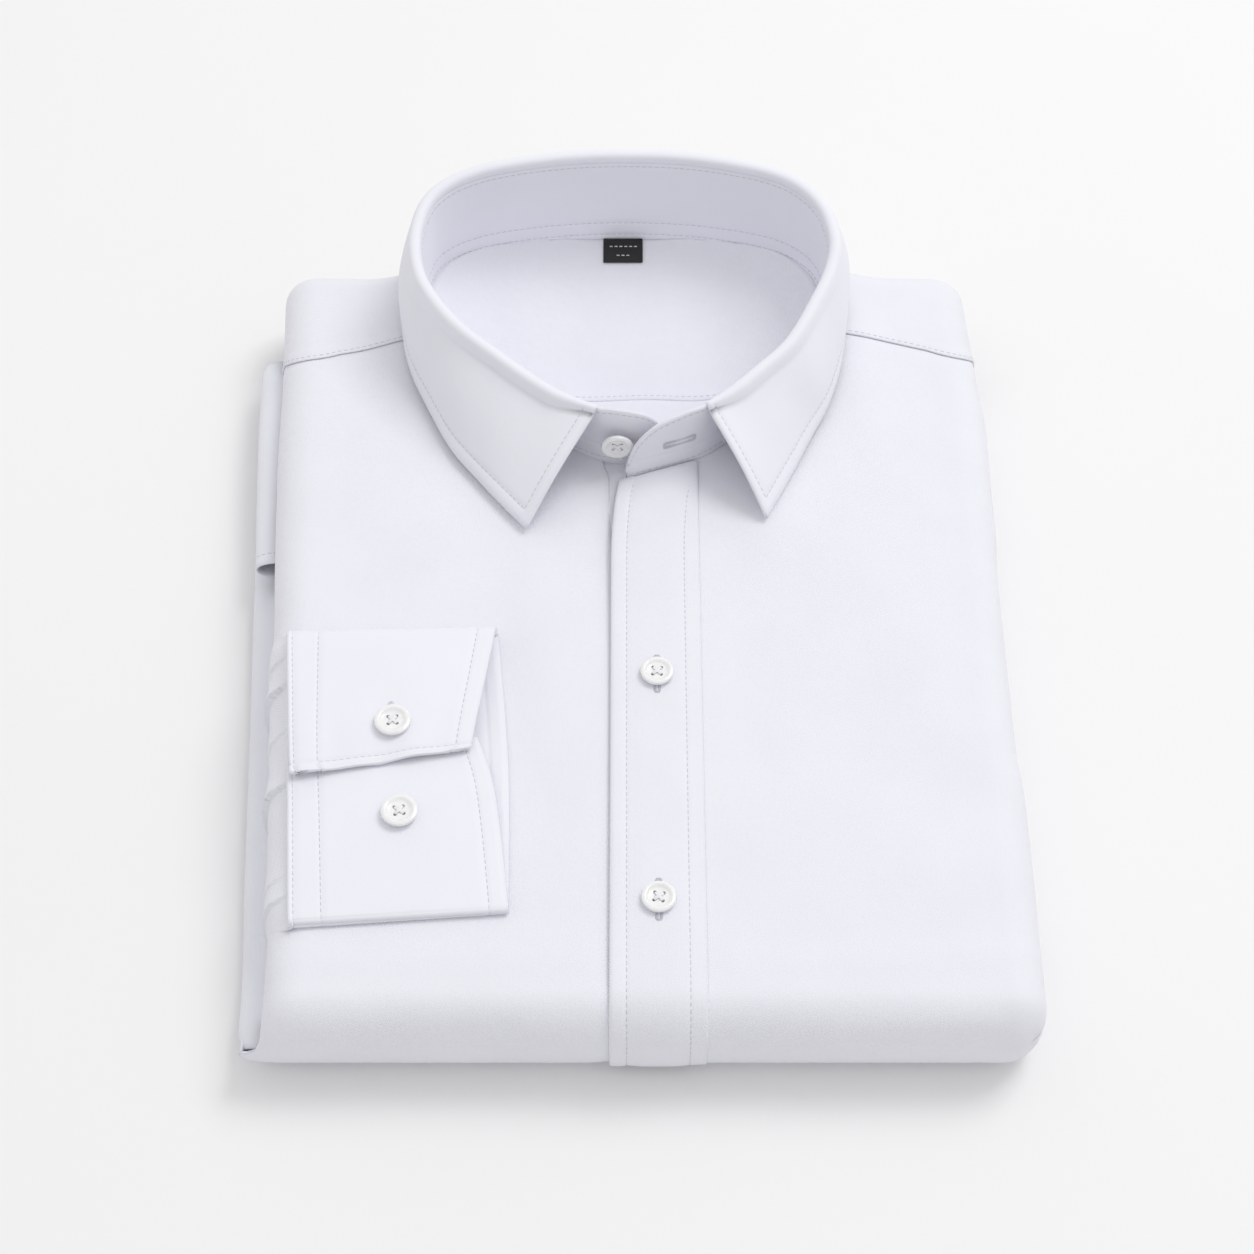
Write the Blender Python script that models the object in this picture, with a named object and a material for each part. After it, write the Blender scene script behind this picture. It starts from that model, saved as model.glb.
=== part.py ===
"""A dress shirt folded for the shelf, lying on its back with its front up.

+X is the right-hand side of someone looking at the front, +Y runs from the bottom fold up to the collar,
and +Z is up. The origin is on the flat underside, below the middle of the shirt.
Lengths are in millimetres here, and new_object() turns them into metres.
"""

import bisect
import math

import bmesh
import bpy
from mathutils import Matrix, Vector

MM = 0.001

WHITE = (0.88, 0.88, 0.92)
BUTTON_WHITE = (0.93, 0.93, 0.94)
BLACK = (0.02, 0.02, 0.022)

# Cloth and gaps
CLOTH = 1.5
DOUBLE_CLOTH = 2.0
GAP = 0.3
SEAM_GAP = 0.7

# The folded pile: its height, its four fold edges and how round they are
PILE_HEIGHT = 38.0
MIDDLE = PILE_HEIGHT / 2
FRONT_FOLD_Y = -170.0
BACK_EDGE_Y = 171.0
BACK_BULGE = 22.0
BULGE_INNER_X = 62.0
BULGE_OUTER_X = 92.0
FOLD_RADIUS = 14.0
CORNER_PULL = 5.0
LEFT_CORNER_PULL = 2.0
CORNER_TURN = math.radians(80.0)
MARGIN_CORNER_TURN = math.radians(30.0)
FRONT_MARGIN_TURN = math.radians(10.0)
UNDER_MARGIN = 30.0
BACK_UNDER_MARGIN = 22.0
SIDE_MARGIN_Y = FRONT_FOLD_Y + FOLD_RADIUS + UNDER_MARGIN + 3.0
BOTTOM_MARGIN_T = FRONT_FOLD_Y + FOLD_RADIUS - math.pi * FOLD_RADIUS - 0.01
FOLD_STEPS = 7

# The pile rises towards the back of the neck
NECK_RISE = 7.5
RISE_START_Y = 95.0
RISE_END_Y = 180.0
RISE_INNER_X = 75.0
RISE_OUTER_X = 105.0

# Fold edges of the pile, seen from above: along y, and the x of the edge there
LEFT_EDGE = (
    # y, x
    (-170.0, -129.5),
    (-160.0, -125.6),
    (-150.0, -122.9),
    (-88.0, -124.6),
    (2.0, -129.0),
    (60.0, -132.5),
    (114.0, -136.0),
    (172.0, -139.0),
)
RIGHT_EDGE = (
    # y, x
    (-170.0, 142.5),
    (-141.0, 140.0),
    (-60.0, 139.4),
    (60.0, 138.0),
    (114.0, 137.0),
    (172.0, 135.5),
)

# Seam between the yoke and the fronts, on both sides of the neck
SHOULDER_SEAM = (
    # x, y
    (-170.0, 112.0),
    (-135.0, 113.7),
    (-112.0, 121.5),
    (-88.0, 127.7),
    (0.0, 131.0),
    (86.0, 131.5),
    (112.0, 124.0),
    (137.0, 113.7),
    (170.0, 112.0),
)

# The collar's route round the neck, from the end with the button to the end with the buttonhole
COLLAR_ROUTE = (
    # x, y, height of the stand's top edge or of the roll
    (14.0, 68.2, 47.0),
    (12.6, 67.4, 58.0),
    (8.0, 66.7, 64.6),
    (1.0, 66.9, 66.8),
    (-5.5, 67.6, 67.4),
    (-11.2, 69.0, 68.0),
    (-22.9, 75.1, 69.0),
    (-35.5, 83.8, 70.3),
    (-48.3, 94.1, 72.0),
    (-61.3, 105.1, 73.9),
    (-71.0, 116.8, 75.9),
    (-77.8, 130.0, 78.0),
    (-79.3, 146.0, 81.0),
    (-74.0, 163.0, 83.8),
    (-58.0, 174.0, 85.4),
    (-30.0, 180.0, 86.5),
    (0.0, 181.8, 86.8),
    (30.0, 179.8, 86.4),
    (58.0, 172.8, 85.2),
    (72.5, 161.0, 83.3),
    (77.9, 145.0, 80.7),
    (76.0, 131.0, 78.2),
    (69.5, 116.0, 75.7),
    (60.0, 99.0, 72.8),
    (48.0, 86.6, 71.0),
    (37.0, 76.7, 69.2),
    (29.6, 70.6, 68.0),
    (22.0, 66.6, 67.0),
    (15.0, 64.0, 65.4),
    (9.5, 62.1, 62.8),
    (4.1, 60.3, 57.0),
    (1.2, 59.2, 50.0),
    (0.0, 58.7, 43.0),
)
FIRST_ROLL = 5
LAST_ROLL = 26

# Lower edge of the collar's fall, one row for each row of the route from FIRST_ROLL to LAST_ROLL
FALL_HEM = (
    # x, y, z
    (-37.2, 33.3, 40.6),
    (-46.5, 44.5, 40.6),
    (-56.5, 57.5, 40.6),
    (-66.5, 71.5, 40.8),
    (-76.0, 91.5, 41.4),
    (-82.5, 107.0, 42.2),
    (-86.3, 123.0, 43.2),
    (-87.8, 144.0, 44.6),
    (-83.5, 167.0, 45.6),
    (-66.0, 183.5, 45.8),
    (-33.0, 190.5, 46.0),
    (0.0, 192.0, 46.0),
    (33.0, 190.3, 46.0),
    (66.0, 182.5, 45.8),
    (82.0, 165.5, 45.4),
    (86.0, 145.0, 44.4),
    (84.8, 129.0, 43.2),
    (81.8, 110.0, 42.2),
    (76.5, 92.0, 41.4),
    (69.5, 76.5, 40.8),
    (61.0, 57.5, 40.6),
    (51.7, 38.3, 40.6),
)

# Section of the fall from its seam inside the neck and over the roll: out from the stand, down from its top
ROLL_SECTION = (
    # out, down
    (-0.1, 3.9),
    (0.0, 2.2),
    (0.7, 1.3),
    (2.0, 1.0),
    (3.2, 1.5),
    (4.0, 3.0),
    (4.8, 6.0),
)
FALL_STEPS = 4
FALL_BELLY = 1.6
ROLL_SEAM_DOWN = 5.0

# Floor of the neck opening: the lowest height along its middle
NECK_FLOOR = (
    # y, z
    (66.0, 27.0),
    (76.0, 21.5),
    (90.0, 19.0),
    (111.5, 22.0),
    (130.0, 27.5),
    (150.0, 34.0),
    (165.0, 39.0),
    (181.0, 44.5),
)
YOKE_SEAM_Y = 111.5
NECK_FLOOR_FRONT_Y = 71.5

# Inner edges of the fronts and of the placket, along y
FRONT_RIGHT_EDGE = (
    # y, x
    (-300.0, -3.0),
    (24.0, -3.0),
    (33.0, -5.6),
    (48.6, -6.8),
    (59.8, -7.4),
    (68.0, -9.6),
)
PLACKET_LEFT = (
    # y, x
    (-300.0, -5.5),
    (19.3, -5.5),
    (33.5, -5.2),
    (48.2, -4.1),
    (57.0, -2.6),
    (61.8, -1.2),
)
PLACKET_RIGHT_X = 26.4
PLACKET_TURN = math.radians(140.0)
PLACKET_BELOW_STAND = 2.2
FRONT_LEFT_X = 20.0
BAND_DROP = 0.8
BAND_CLOTH = 1.2
BAND_TOP_Y = 64.6

# The cuff, one band wound flat: a row for each place along the band, with its left and right edge
CUFF_BAND = (
    # left x, left y, right x, right y, z
    (-116.9, -79.6, -55.2, -68.6, 44.9),
    (-118.6, -62.0, -53.6, -57.0, 45.4),
    (-120.6, -40.0, -50.6, -36.0, 45.4),
    (-122.2, -21.5, -48.4, -20.0, 45.0),
    (-122.6, -17.6, -48.0, -15.6, 43.9),
    (-122.7, -16.4, -47.8, -14.2, 42.2),
    (-122.6, -17.6, -47.4, -15.6, 40.5),
    (-122.2, -22.0, -46.8, -20.0, 39.4),
    (-118.3, -75.0, -42.0, -72.0, 39.4),
    (-114.3, -131.5, -40.6, -127.5, 39.4),
    (-113.9, -134.9, -40.6, -131.4, 39.9),
    (-113.9, -135.6, -40.6, -132.2, 41.1),
    (-113.9, -134.9, -40.6, -131.4, 42.3),
    (-114.3, -131.0, -41.0, -127.0, 42.6),
    (-116.2, -105.0, -44.0, -101.0, 42.6),
    (-117.9, -82.0, -47.4, -80.0, 42.6),
    (-119.2, -66.0, -53.0, -62.0, 42.6),
)

# The sleeve's strip beside the cuff: its ends, its heights over the front, and its pleats
STRIP_TOP_Y = -12.5
STRIP_BOTTOM_Y = -138.5
STRIP_LIFT_EDGE = 2.4
STRIP_LIFT_SEAM = 5.2
STRIP_TURN = 4 * math.pi / FOLD_STEPS
STRIP_UNDER_LIFT = 0.8
PLEATS = (
    # y where the pleat's fold lies, its height
    (-22.5, 0.5),
    (-35.3, 1.1),
    (-54.5, 0.4),
    (-77.0, 1.1),
    (-115.0, 0.5),
    (-123.4, 0.7),
)
PLEAT_FADE = 12.0

# The folded sleeve's layers that stand out on the left
SIDE_LAYER_OUT = (
    # y, x of the outermost layer's fold
    (-152.0, -130.6),
    (-146.0, -131.9),
    (34.0, -141.9),
    (124.0, -146.6),
    (134.0, -145.4),
    (137.0, -142.0),
)
SIDE_TUCK = 6.2
LOWER_LAYER_Z = (1.0, 10.8)
LOWER_LAYER_END_Y = -152.0
UPPER_LAYER_Z = (11.4, 21.6)
UPPER_LAYER_INSET = 1.3
UPPER_LAYER_END_Y = 30.0
SIDE_LAYER_BACK_Y = 137.0

# Hidden layers
CORE_TOP = 2.4
CORE_UNDER = 3.6
CORE_LEFT_INSET = 12.0
CORE_BACK_INSET = 2.0
CORE_LAYERS = 4
CORE_GROOVE = 1.4
CORE_START_TURN = math.radians(42.0)
CORE_COLUMNS = 24
CORE_NECK_SHARE = 0.68
CORE_FRONT_ROWS = 9
CORE_NECK_ROWS = 14
NECK_CLEAR = 6.0
NECK_FLOOR_CLEAR = 3.4
TAIL_HEM_Y = 62.0
TAIL_HEM_RISE = 34.0

# Buttons
COLLAR_BUTTON_WIDTH = 11.4
PLACKET_BUTTON_WIDTH = 12.0
CUFF_BUTTON_WIDTH = 12.8
BUTTON_HEIGHT = 2.6
BUTTON_SIDES = 20
HOLE_WIDTH = 1.7
HOLE_SPACING = 3.2
COLLAR_BUTTON = (-3.8, 65.6, 52.0)
PLACKET_BUTTONS_Y = (-32.4, -124.7)
PLACKET_BUTTON_X = 10.7
CUFF_BUTTONS = (
    # x, y, z of its underside
    (-82.5, -58.7, 46.7),
    (-78.6, -93.9, 43.9),
)

LABEL_WIDTH = 15.4
LABEL_TOP_Y = 178.6
LABEL_BOTTOM_Y = 165.0
LABEL_X = -1.6
LABEL_LIFT = 0.4
LABEL_CLOTH = 1.0


def clear_scene():
    for item in list(bpy.data.objects):
        bpy.data.objects.remove(item, do_unlink=True)


def cloth_material(name, color, roughness=0.75):
    material = bpy.data.materials.new(name)
    material.use_nodes = True
    shader = material.node_tree.nodes["Principled BSDF"]
    shader.inputs["Base Color"].default_value = (*color, 1.0)
    shader.inputs["Roughness"].default_value = roughness
    shader.inputs["Metallic"].default_value = 0.0
    return material


def smooth_step(value):
    value = min(1.0, max(0.0, value))
    return value * value * (3 - 2 * value)


def read_table(table, key):
    """Smooth value from a table of two columns, held at its ends."""
    keys = [row[0] for row in table]
    if key <= keys[0]:
        return table[0][1]
    if key >= keys[-1]:
        return table[-1][1]
    index = bisect.bisect_right(keys, key) - 1
    return curve_point(table, index + (key - keys[index]) / (keys[index + 1] - keys[index]))[1]


def curve_point(rows, place):
    """Point of a smooth curve through the rows; place counts the rows from 0."""
    index = min(len(rows) - 2, max(0, int(place)))
    step = place - index
    before = rows[max(0, index - 1)]
    start = rows[index]
    end = rows[index + 1]
    after = rows[min(len(rows) - 1, index + 2)]
    point = []
    for a, b, c, d in zip(before, start, end, after):
        point.append(0.5 * (2 * b + (c - a) * step + (2 * a - 5 * b + 4 * c - d) * step ** 2
                            + (3 * b - a - 3 * c + d) * step ** 3))
    return point


def between(start, end, count):
    """Evenly spaced values from start to end, both included."""
    return [start + (end - start) * index / (count - 1) for index in range(count)]


# The skin of the folded pile, which every panel follows


def back_edge(x):
    bulge = smooth_step((BULGE_OUTER_X - abs(x)) / (BULGE_OUTER_X - BULGE_INNER_X))
    return BACK_EDGE_Y + BACK_BULGE * bulge


def pile_top(x, y):
    rise = smooth_step((y - RISE_START_Y) / (RISE_END_Y - RISE_START_Y))
    fade = smooth_step((RISE_OUTER_X - abs(x)) / (RISE_OUTER_X - RISE_INNER_X))
    return PILE_HEIGHT + NECK_RISE * rise * fade


def bend(place, low, high, lift):
    """Follow a cloth over the fold edges at low and high: its position, the angle turned, and the side."""
    middle = (low + high) / 2
    side = 1 if place > middle else -1
    flat_end = abs((high if side > 0 else low) - middle) - FOLD_RADIUS
    run = abs(place - middle) - flat_end
    if run <= 0:
        return place, 0.0, side
    turn = run / FOLD_RADIUS
    if turn < math.pi:
        return middle + side * (flat_end + (FOLD_RADIUS + lift) * math.sin(turn)), turn, side
    return middle + side * (flat_end - (turn - math.pi) * FOLD_RADIUS), math.pi, side


def edge_place(y, turn_y, side_y):
    """Where to read the side edges: past the nose of the bottom fold they stay as wide as at the nose."""
    return FRONT_FOLD_Y if side_y < 0 and turn_y > math.pi / 2 else y


def pile_point(s, t, lift=0.0, left_inset=0.0, under=False):
    """Point of the pile's skin: s runs across the cloth, t along it, and lift moves out from the skin."""
    y, turn_y, side_y = bend(t, FRONT_FOLD_Y, back_edge(s), lift)
    edge_y = edge_place(y, turn_y, side_y)
    left = read_table(LEFT_EDGE, edge_y) + left_inset
    x, turn_x, side_x = bend(s, left, read_table(RIGHT_EDGE, edge_y), lift)
    level = math.cos(turn_x) * math.cos(turn_y) * (-1 if under else 1)
    pull = LEFT_CORNER_PULL if side_x < 0 and side_y < 0 else CORNER_PULL
    corner = pull * (math.sin(turn_x) * math.sin(turn_y)) ** 2
    half = pile_top(x, y) - MIDDLE if level > 0 else MIDDLE
    return Vector((x - side_x * corner, y - side_y * corner, MIDDLE + (half + lift) * level))


def turn_stations(edge, outward, last_turn, margin=0.0):
    """Places along a cloth round a fold edge, by equal angles, and past it by the margin."""
    start = edge - outward * FOLD_RADIUS
    step = math.pi / FOLD_STEPS
    turns = [step * index for index in range(FOLD_STEPS + 1) if step * index < last_turn - 0.01]
    stations = [start + outward * FOLD_RADIUS * turn for turn in turns + [last_turn]]
    if margin:
        stations += [stations[-1] + outward * margin]
    return stations


# Turning grids of points into closed objects


def new_object(name, mesh_data, color, roughness=0.75, smooth=True):
    """A closed object from a bmesh in millimetres."""
    bmesh.ops.recalc_face_normals(mesh_data, faces=mesh_data.faces)
    bmesh.ops.scale(mesh_data, vec=(MM, MM, MM), verts=mesh_data.verts)
    mesh = bpy.data.meshes.new(name)
    mesh_data.to_mesh(mesh)
    mesh_data.free()
    mesh.materials.append(cloth_material(name, color, roughness))
    if smooth:
        mesh.shade_smooth()
        mesh.set_sharp_from_angle(angle=math.radians(50))
    item = bpy.data.objects.new(name, mesh)
    bpy.context.collection.objects.link(item)
    return item


def closed_wall(name, outer, inner, color, keep=None):
    """A cloth wall between two grids of points; keep(row, column) says which cells are cloth."""
    mesh_data = bmesh.new()
    skins = []
    rows = len(outer)
    columns = len(outer[0])
    cells = [(r, c) for r in range(rows - 1) for c in range(columns - 1)
             if keep is None or keep(r, c)]
    used = {(r + dr, c + dc) for r, c in cells for dr in (0, 1) for dc in (0, 1)}
    for grid in (outer, inner):
        skins.append({key: mesh_data.verts.new(grid[key[0]][key[1]]) for key in sorted(used)})
    edge_count = {}
    for r, c in cells:
        ring = [(r, c), (r, c + 1), (r + 1, c + 1), (r + 1, c)]
        mesh_data.faces.new([skins[0][key] for key in ring])
        mesh_data.faces.new([skins[1][key] for key in reversed(ring)])
        for start, end in zip(ring, ring[1:] + ring[:1]):
            edge_count.setdefault(frozenset((start, end)), []).append((start, end))
    for uses in edge_count.values():
        if len(uses) == 1:
            start, end = uses[0]
            mesh_data.faces.new([skins[0][end], skins[0][start], skins[1][start], skins[1][end]])
    return new_object(name, mesh_data, color)


def grid_normals(grid):
    """Unit normals of a grid of points, from its rows and columns."""
    rows = len(grid)
    columns = len(grid[0])
    normals = []
    for r in range(rows):
        line = []
        for c in range(columns):
            along = grid[min(rows - 1, r + 1)][c] - grid[max(0, r - 1)][c]
            across = grid[r][min(columns - 1, c + 1)] - grid[r][max(0, c - 1)]
            line.append(across.cross(along).normalized())
        normals.append(line)
    return normals


def thick_wall(name, grid, thickness, color):
    """A cloth wall with the grid as its middle surface."""
    normals = grid_normals(grid)
    half = thickness / 2
    outer = [[point + normal * half for point, normal in zip(*pair)] for pair in zip(grid, normals)]
    inner = [[point - normal * half for point, normal in zip(*pair)] for pair in zip(grid, normals)]
    return closed_wall(name, outer, inner, color)


def pile_grid(lines, lift):
    """Points of the pile's skin for lines of (s, t); lift is a number or a function of s and t."""
    return [[pile_point(s, t, lift(s, t) if callable(lift) else lift) for s, t in line] for line in lines]


# Collar route and neckline


def route_point(place):
    return Vector(curve_point(COLLAR_ROUTE, place))


def route_outward(place):
    """Level unit vector out of the neck, square to the collar's route."""
    step = 0.05
    along = route_point(place + step) - route_point(place - step)
    return Vector((along.y, -along.x, 0.0)).normalized() * -1


def route_table(first, last, along):
    """Even samples of the route between two of its rows: (y, x), or (x, y) when along is 0."""
    points = [route_point(place) for place in between(first, last, 49)]
    return sorted((point[along], point[1 - along]) for point in points)


def look_up(table, key):
    """Straight-line value from a table of two columns, held at its ends."""
    keys = [row[0] for row in table]
    index = min(len(keys) - 2, max(0, bisect.bisect_right(keys, key) - 1))
    share = min(1.0, max(0.0, (key - keys[index]) / (keys[index + 1] - keys[index])))
    return table[index][1] + (table[index + 1][1] - table[index][1]) * share


NECK_BACK_ROW = 16
NECK_LEFT_SIDE = route_table(FIRST_ROLL, NECK_BACK_ROW, 1)
NECK_RIGHT_SIDE = route_table(NECK_BACK_ROW, LAST_ROLL, 1)
NECK_BACK = route_table(NECK_BACK_ROW - 4, NECK_BACK_ROW + 4, 0)
BUTTONHOLE_END = route_table(LAST_ROLL, len(COLLAR_ROUTE) - 1, 0)


def neck_side(y, side):
    """x of the collar's route at y, on the left (-1) or the right (1)."""
    return look_up(NECK_LEFT_SIDE if side < 0 else NECK_RIGHT_SIDE, y)


def neck_back(x):
    """y of the collar's route round the back of the neck."""
    return look_up(NECK_BACK, x)


NECK_OFFSET = DOUBLE_CLOTH / 2 + GAP
NECK_FRONT_Y = 69.0


# Fronts, placket and band


def front_lines(inner_edge, fold_edge, outward, last_turn):
    """Lines of (s, t) for a front: down its inner edge from the shoulder seam and under the bottom fold."""
    neck_rows = 7
    body_rows = 10
    flat_end = FRONT_FOLD_Y + FOLD_RADIUS
    body = between(NECK_FRONT_Y, SIDE_MARGIN_Y, body_rows) + [(SIDE_MARGIN_Y + flat_end) / 2]
    fold = turn_stations(FRONT_FOLD_Y, -1, math.pi, UNDER_MARGIN)
    side_margin = UNDER_MARGIN if last_turn > math.pi - 0.01 else 0.0
    lines = []
    for share in between(1.0, 0.0, neck_rows)[:-1]:
        y = NECK_FRONT_Y + share * (read_table(SHOULDER_SEAM, outward * 80.0) - NECK_FRONT_Y)
        start = neck_side(y, outward) + outward * NECK_OFFSET
        columns = front_columns(start, fold_edge(y), outward, last_turn, side_margin)
        lines.append([(s, NECK_FRONT_Y + share * (read_table(SHOULDER_SEAM, s) - SEAM_GAP - NECK_FRONT_Y))
                      for s in columns])
    for t in body + fold:
        y, turn_y, side_y = bend(t, FRONT_FOLD_Y, BACK_EDGE_Y, 0.0)
        edge = fold_edge(edge_place(y, turn_y, side_y))
        columns = front_columns(inner_edge(max(t, flat_end)), edge, outward, last_turn, side_margin)
        lines.append([(s, t) for s in columns])
    return lines


def front_columns(start, edge, outward, last_turn, margin):
    flat_columns = 7
    fold = turn_stations(edge, outward, last_turn, margin)
    return between(start, fold[0], flat_columns)[:-1] + fold


def turned(s, t):
    """How far the cloth has turned round the side edge and round the front or back edge."""
    y, turn_y, side_y = bend(t, FRONT_FOLD_Y, back_edge(s), 0.0)
    edge_y = edge_place(y, turn_y, side_y)
    _, turn_x, _ = bend(s, read_table(LEFT_EDGE, edge_y), read_table(RIGHT_EDGE, edge_y), 0.0)
    return turn_x, turn_y, y


def is_front_cloth(lines, side_turns, margin_turn):
    """Cells of a front that are cloth: the side margin and the bottom margin don't cross at the corner."""
    def keep(row, column):
        s, t = lines[row + 1][column + 1]
        turn_x, turn_y, y = turned(s, t)
        if turn_y > math.pi / 2:
            return turn_x < (CORNER_TURN if t > BOTTOM_MARGIN_T else margin_turn)
        if turn_x > math.pi / 2 + 0.01:
            return t > SIDE_MARGIN_Y - 0.01 and turn_x < side_turns(y)
        return turn_x < side_turns(y)
    return keep


def front_left():
    """The front on the viewer's right, which wraps the right side and the bottom fold."""
    lines = front_lines(lambda y: FRONT_LEFT_X if y < NECK_FRONT_Y - 4 else 30.9,
                        lambda y: read_table(RIGHT_EDGE, y), 1, math.pi)
    keep = is_front_cloth(lines, lambda y: 4.0, CORNER_TURN)
    return closed_wall("front_left", pile_grid(lines, 0.0), pile_grid(lines, -CLOTH), WHITE, keep)


def front_right():
    """The front on the viewer's left; where the sleeve's layers stand out it stops above them."""
    def side_turns(y):
        return CORNER_TURN if y > UPPER_LAYER_END_Y - 8 else STRIP_TURN + 0.01
    lines = front_lines(lambda y: read_table(FRONT_RIGHT_EDGE, y),
                        lambda y: read_table(LEFT_EDGE, y), -1, STRIP_TURN)
    keep = is_front_cloth(lines, side_turns, FRONT_MARGIN_TURN)
    return closed_wall("front_right", pile_grid(lines, 0.0), pile_grid(lines, -CLOTH), WHITE, keep)


def strip_down_the_front(name, left_edge, right_edge, top_y, columns, lift, thickness, last_turn):
    """A strip of cloth from the neck down the front and round the bottom fold."""
    flat_end = FRONT_FOLD_Y + FOLD_RADIUS
    shares = between(0.0, 1.0, columns)
    lines = []
    for level in between(0.0, 1.0, 12)[:-1]:
        line = []
        for share in shares:
            guess = left_edge(NECK_FRONT_Y) + share * (right_edge(NECK_FRONT_Y) - left_edge(NECK_FRONT_Y))
            y = top_y(guess) + (flat_end - top_y(guess)) * level ** 1.3
            line.append((left_edge(y) + share * (right_edge(y) - left_edge(y)), y))
        lines.append(line)
    for t in turn_stations(FRONT_FOLD_Y, -1, last_turn):
        lines.append([(left_edge(flat_end) + share * (right_edge(flat_end) - left_edge(flat_end)), t)
                      for share in shares])
    return closed_wall(name, pile_grid(lines, lift), pile_grid(lines, lift - thickness), WHITE)


def placket():
    return strip_down_the_front("placket", lambda y: read_table(PLACKET_LEFT, y), lambda y: PLACKET_RIGHT_X,
                                lambda x: look_up(BUTTONHOLE_END, x) - PLACKET_BELOW_STAND, 5,
                                CLOTH + GAP, CLOTH, PLACKET_TURN)


def button_band():
    """The band under the placket, which shows as a narrow sunken strip near the neck."""
    return strip_down_the_front("button_band", lambda y: read_table(FRONT_RIGHT_EDGE, y) + SEAM_GAP,
                                lambda y: FRONT_LEFT_X - GAP, lambda x: BAND_TOP_Y, 4,
                                -BAND_DROP, BAND_CLOTH, math.pi)


# Yoke, and what shows inside the neck


def yoke():
    """Shoulders and back of the neck: from the shoulder seams over the back edge and under."""
    left_turns = turn_stations(read_table(LEFT_EDGE, 160.0), -1, 5 * math.pi / FOLD_STEPS)
    right_turns = turn_stations(read_table(RIGHT_EDGE, 160.0), 1, math.pi, UNDER_MARGIN)
    neck = [-81.2, -79.6, -76.0, -70.0, -60.0, -42.0, -21.0, 0.0,
            21.0, 42.0, 60.0, 70.0, 75.5, 78.6, 80.2]
    columns = left_turns[::-1] + [-108.0, -92.0] + neck + [92.0, 108.0] + right_turns
    lines = []
    flat_rows = 5
    for s in columns:
        edge = back_edge(s)
        if neck[1] - 0.1 < s < neck[-2] + 0.1:
            start = max(146.0, neck_back(s)) + NECK_OFFSET
        else:
            start = read_table(SHOULDER_SEAM, s)
        flat_end = edge - FOLD_RADIUS
        turn_start = max(flat_end, start + 2.0)
        turn = between(turn_start, flat_end + math.pi * FOLD_RADIUS, FOLD_STEPS + 1)
        turn.append(turn[-1] + BACK_UNDER_MARGIN)
        lines.append([(s, t) for t in between(start, turn_start, flat_rows)[:-1] + turn])

    def keep(row, column):
        s = max((lines[row][column][0], lines[row + 1][column][0]), key=abs)
        t = max(lines[row][column + 1][1], lines[row + 1][column + 1][1])
        turn_x, turn_y, _ = turned(s, t)
        if turn_y > math.pi / 2 + 0.01:
            return turn_x < (MARGIN_CORNER_TURN if s < 0 else CORNER_TURN)
        if turn_x > CORNER_TURN and s < 0:
            return turn_y < 0.01 and lines[row][column][1] > SIDE_LAYER_BACK_Y
        if turn_x > math.pi / 2 + 0.01:
            return t < BACK_EDGE_Y - FOLD_RADIUS - BACK_UNDER_MARGIN - 2
        return True
    return closed_wall("yoke", pile_grid(lines, 0.0), pile_grid(lines, -CLOTH), WHITE, keep)


def neck_floor(x, y):
    """Height of the cloth that shows inside the neck, like a bowl that rises to the neckline."""
    left = neck_side(y, -1)
    right = neck_side(y, 1)
    across = min(1.0, abs(2 * x - left - right) / max(1.0, right - left))
    low = read_table(NECK_FLOOR, y)
    rim = pile_top(x, y) - BAND_DROP
    return low + (rim - low) * across ** 4


def neck_panel(name, y_from, y_to, rows, color):
    """A wall on the floor of the neck opening, from side to side of the neckline."""
    columns = 11
    outer = []
    for y in between(y_from, y_to, rows):
        left = neck_side(y, -1) + NECK_OFFSET + 0.4
        right = neck_side(y, 1) - NECK_OFFSET - 0.4
        line = []
        for share in between(0.0, 1.0, columns):
            x = left + (right - left) * share
            y_here = min(y, neck_back(x) - NECK_OFFSET)
            line.append(Vector((x, y_here, neck_floor(x, y_here))))
        outer.append(line)
    inner = [[point - Vector((0, 0, CLOTH)) for point in line] for line in outer]
    return closed_wall(name, outer, inner, color)


def neck_label():
    """A small woven label that hangs from the neck seam over the inner yoke."""
    lines = []
    columns = [LABEL_X + side * LABEL_WIDTH / 2 for side in (-1, 0, 1)]
    for y in between(LABEL_TOP_Y, LABEL_BOTTOM_Y, 5):
        lines.append([Vector((x, y, neck_floor(x, y) + GAP + LABEL_LIFT)) for x in columns])
    top = [[point + Vector((0, 0, LABEL_CLOTH)) for point in line] for line in lines]
    return closed_wall("neck_label", top, lines, BLACK)


# Collar


def collar_stand():
    """The band that stands round the neck, with a rounded end on each side of the front."""
    grid = []
    levels = between(0.0, 1.0, 5)
    last = len(COLLAR_ROUTE) - 1
    for place in between(0, last, 49):
        x, y, top = route_point(place)
        bottom = pile_top(x, y) + GAP
        if FIRST_ROLL <= place <= LAST_ROLL:
            top -= ROLL_SEAM_DOWN
        else:
            away = min(1.0, (FIRST_ROLL - place) if place < FIRST_ROLL else (place - LAST_ROLL))
            top -= ROLL_SEAM_DOWN * (1 - away)
        grid.append([Vector((x, y, bottom + (top - bottom) * level)) for level in levels])
    return thick_wall("collar_stand", grid, DOUBLE_CLOTH, WHITE)


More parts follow.
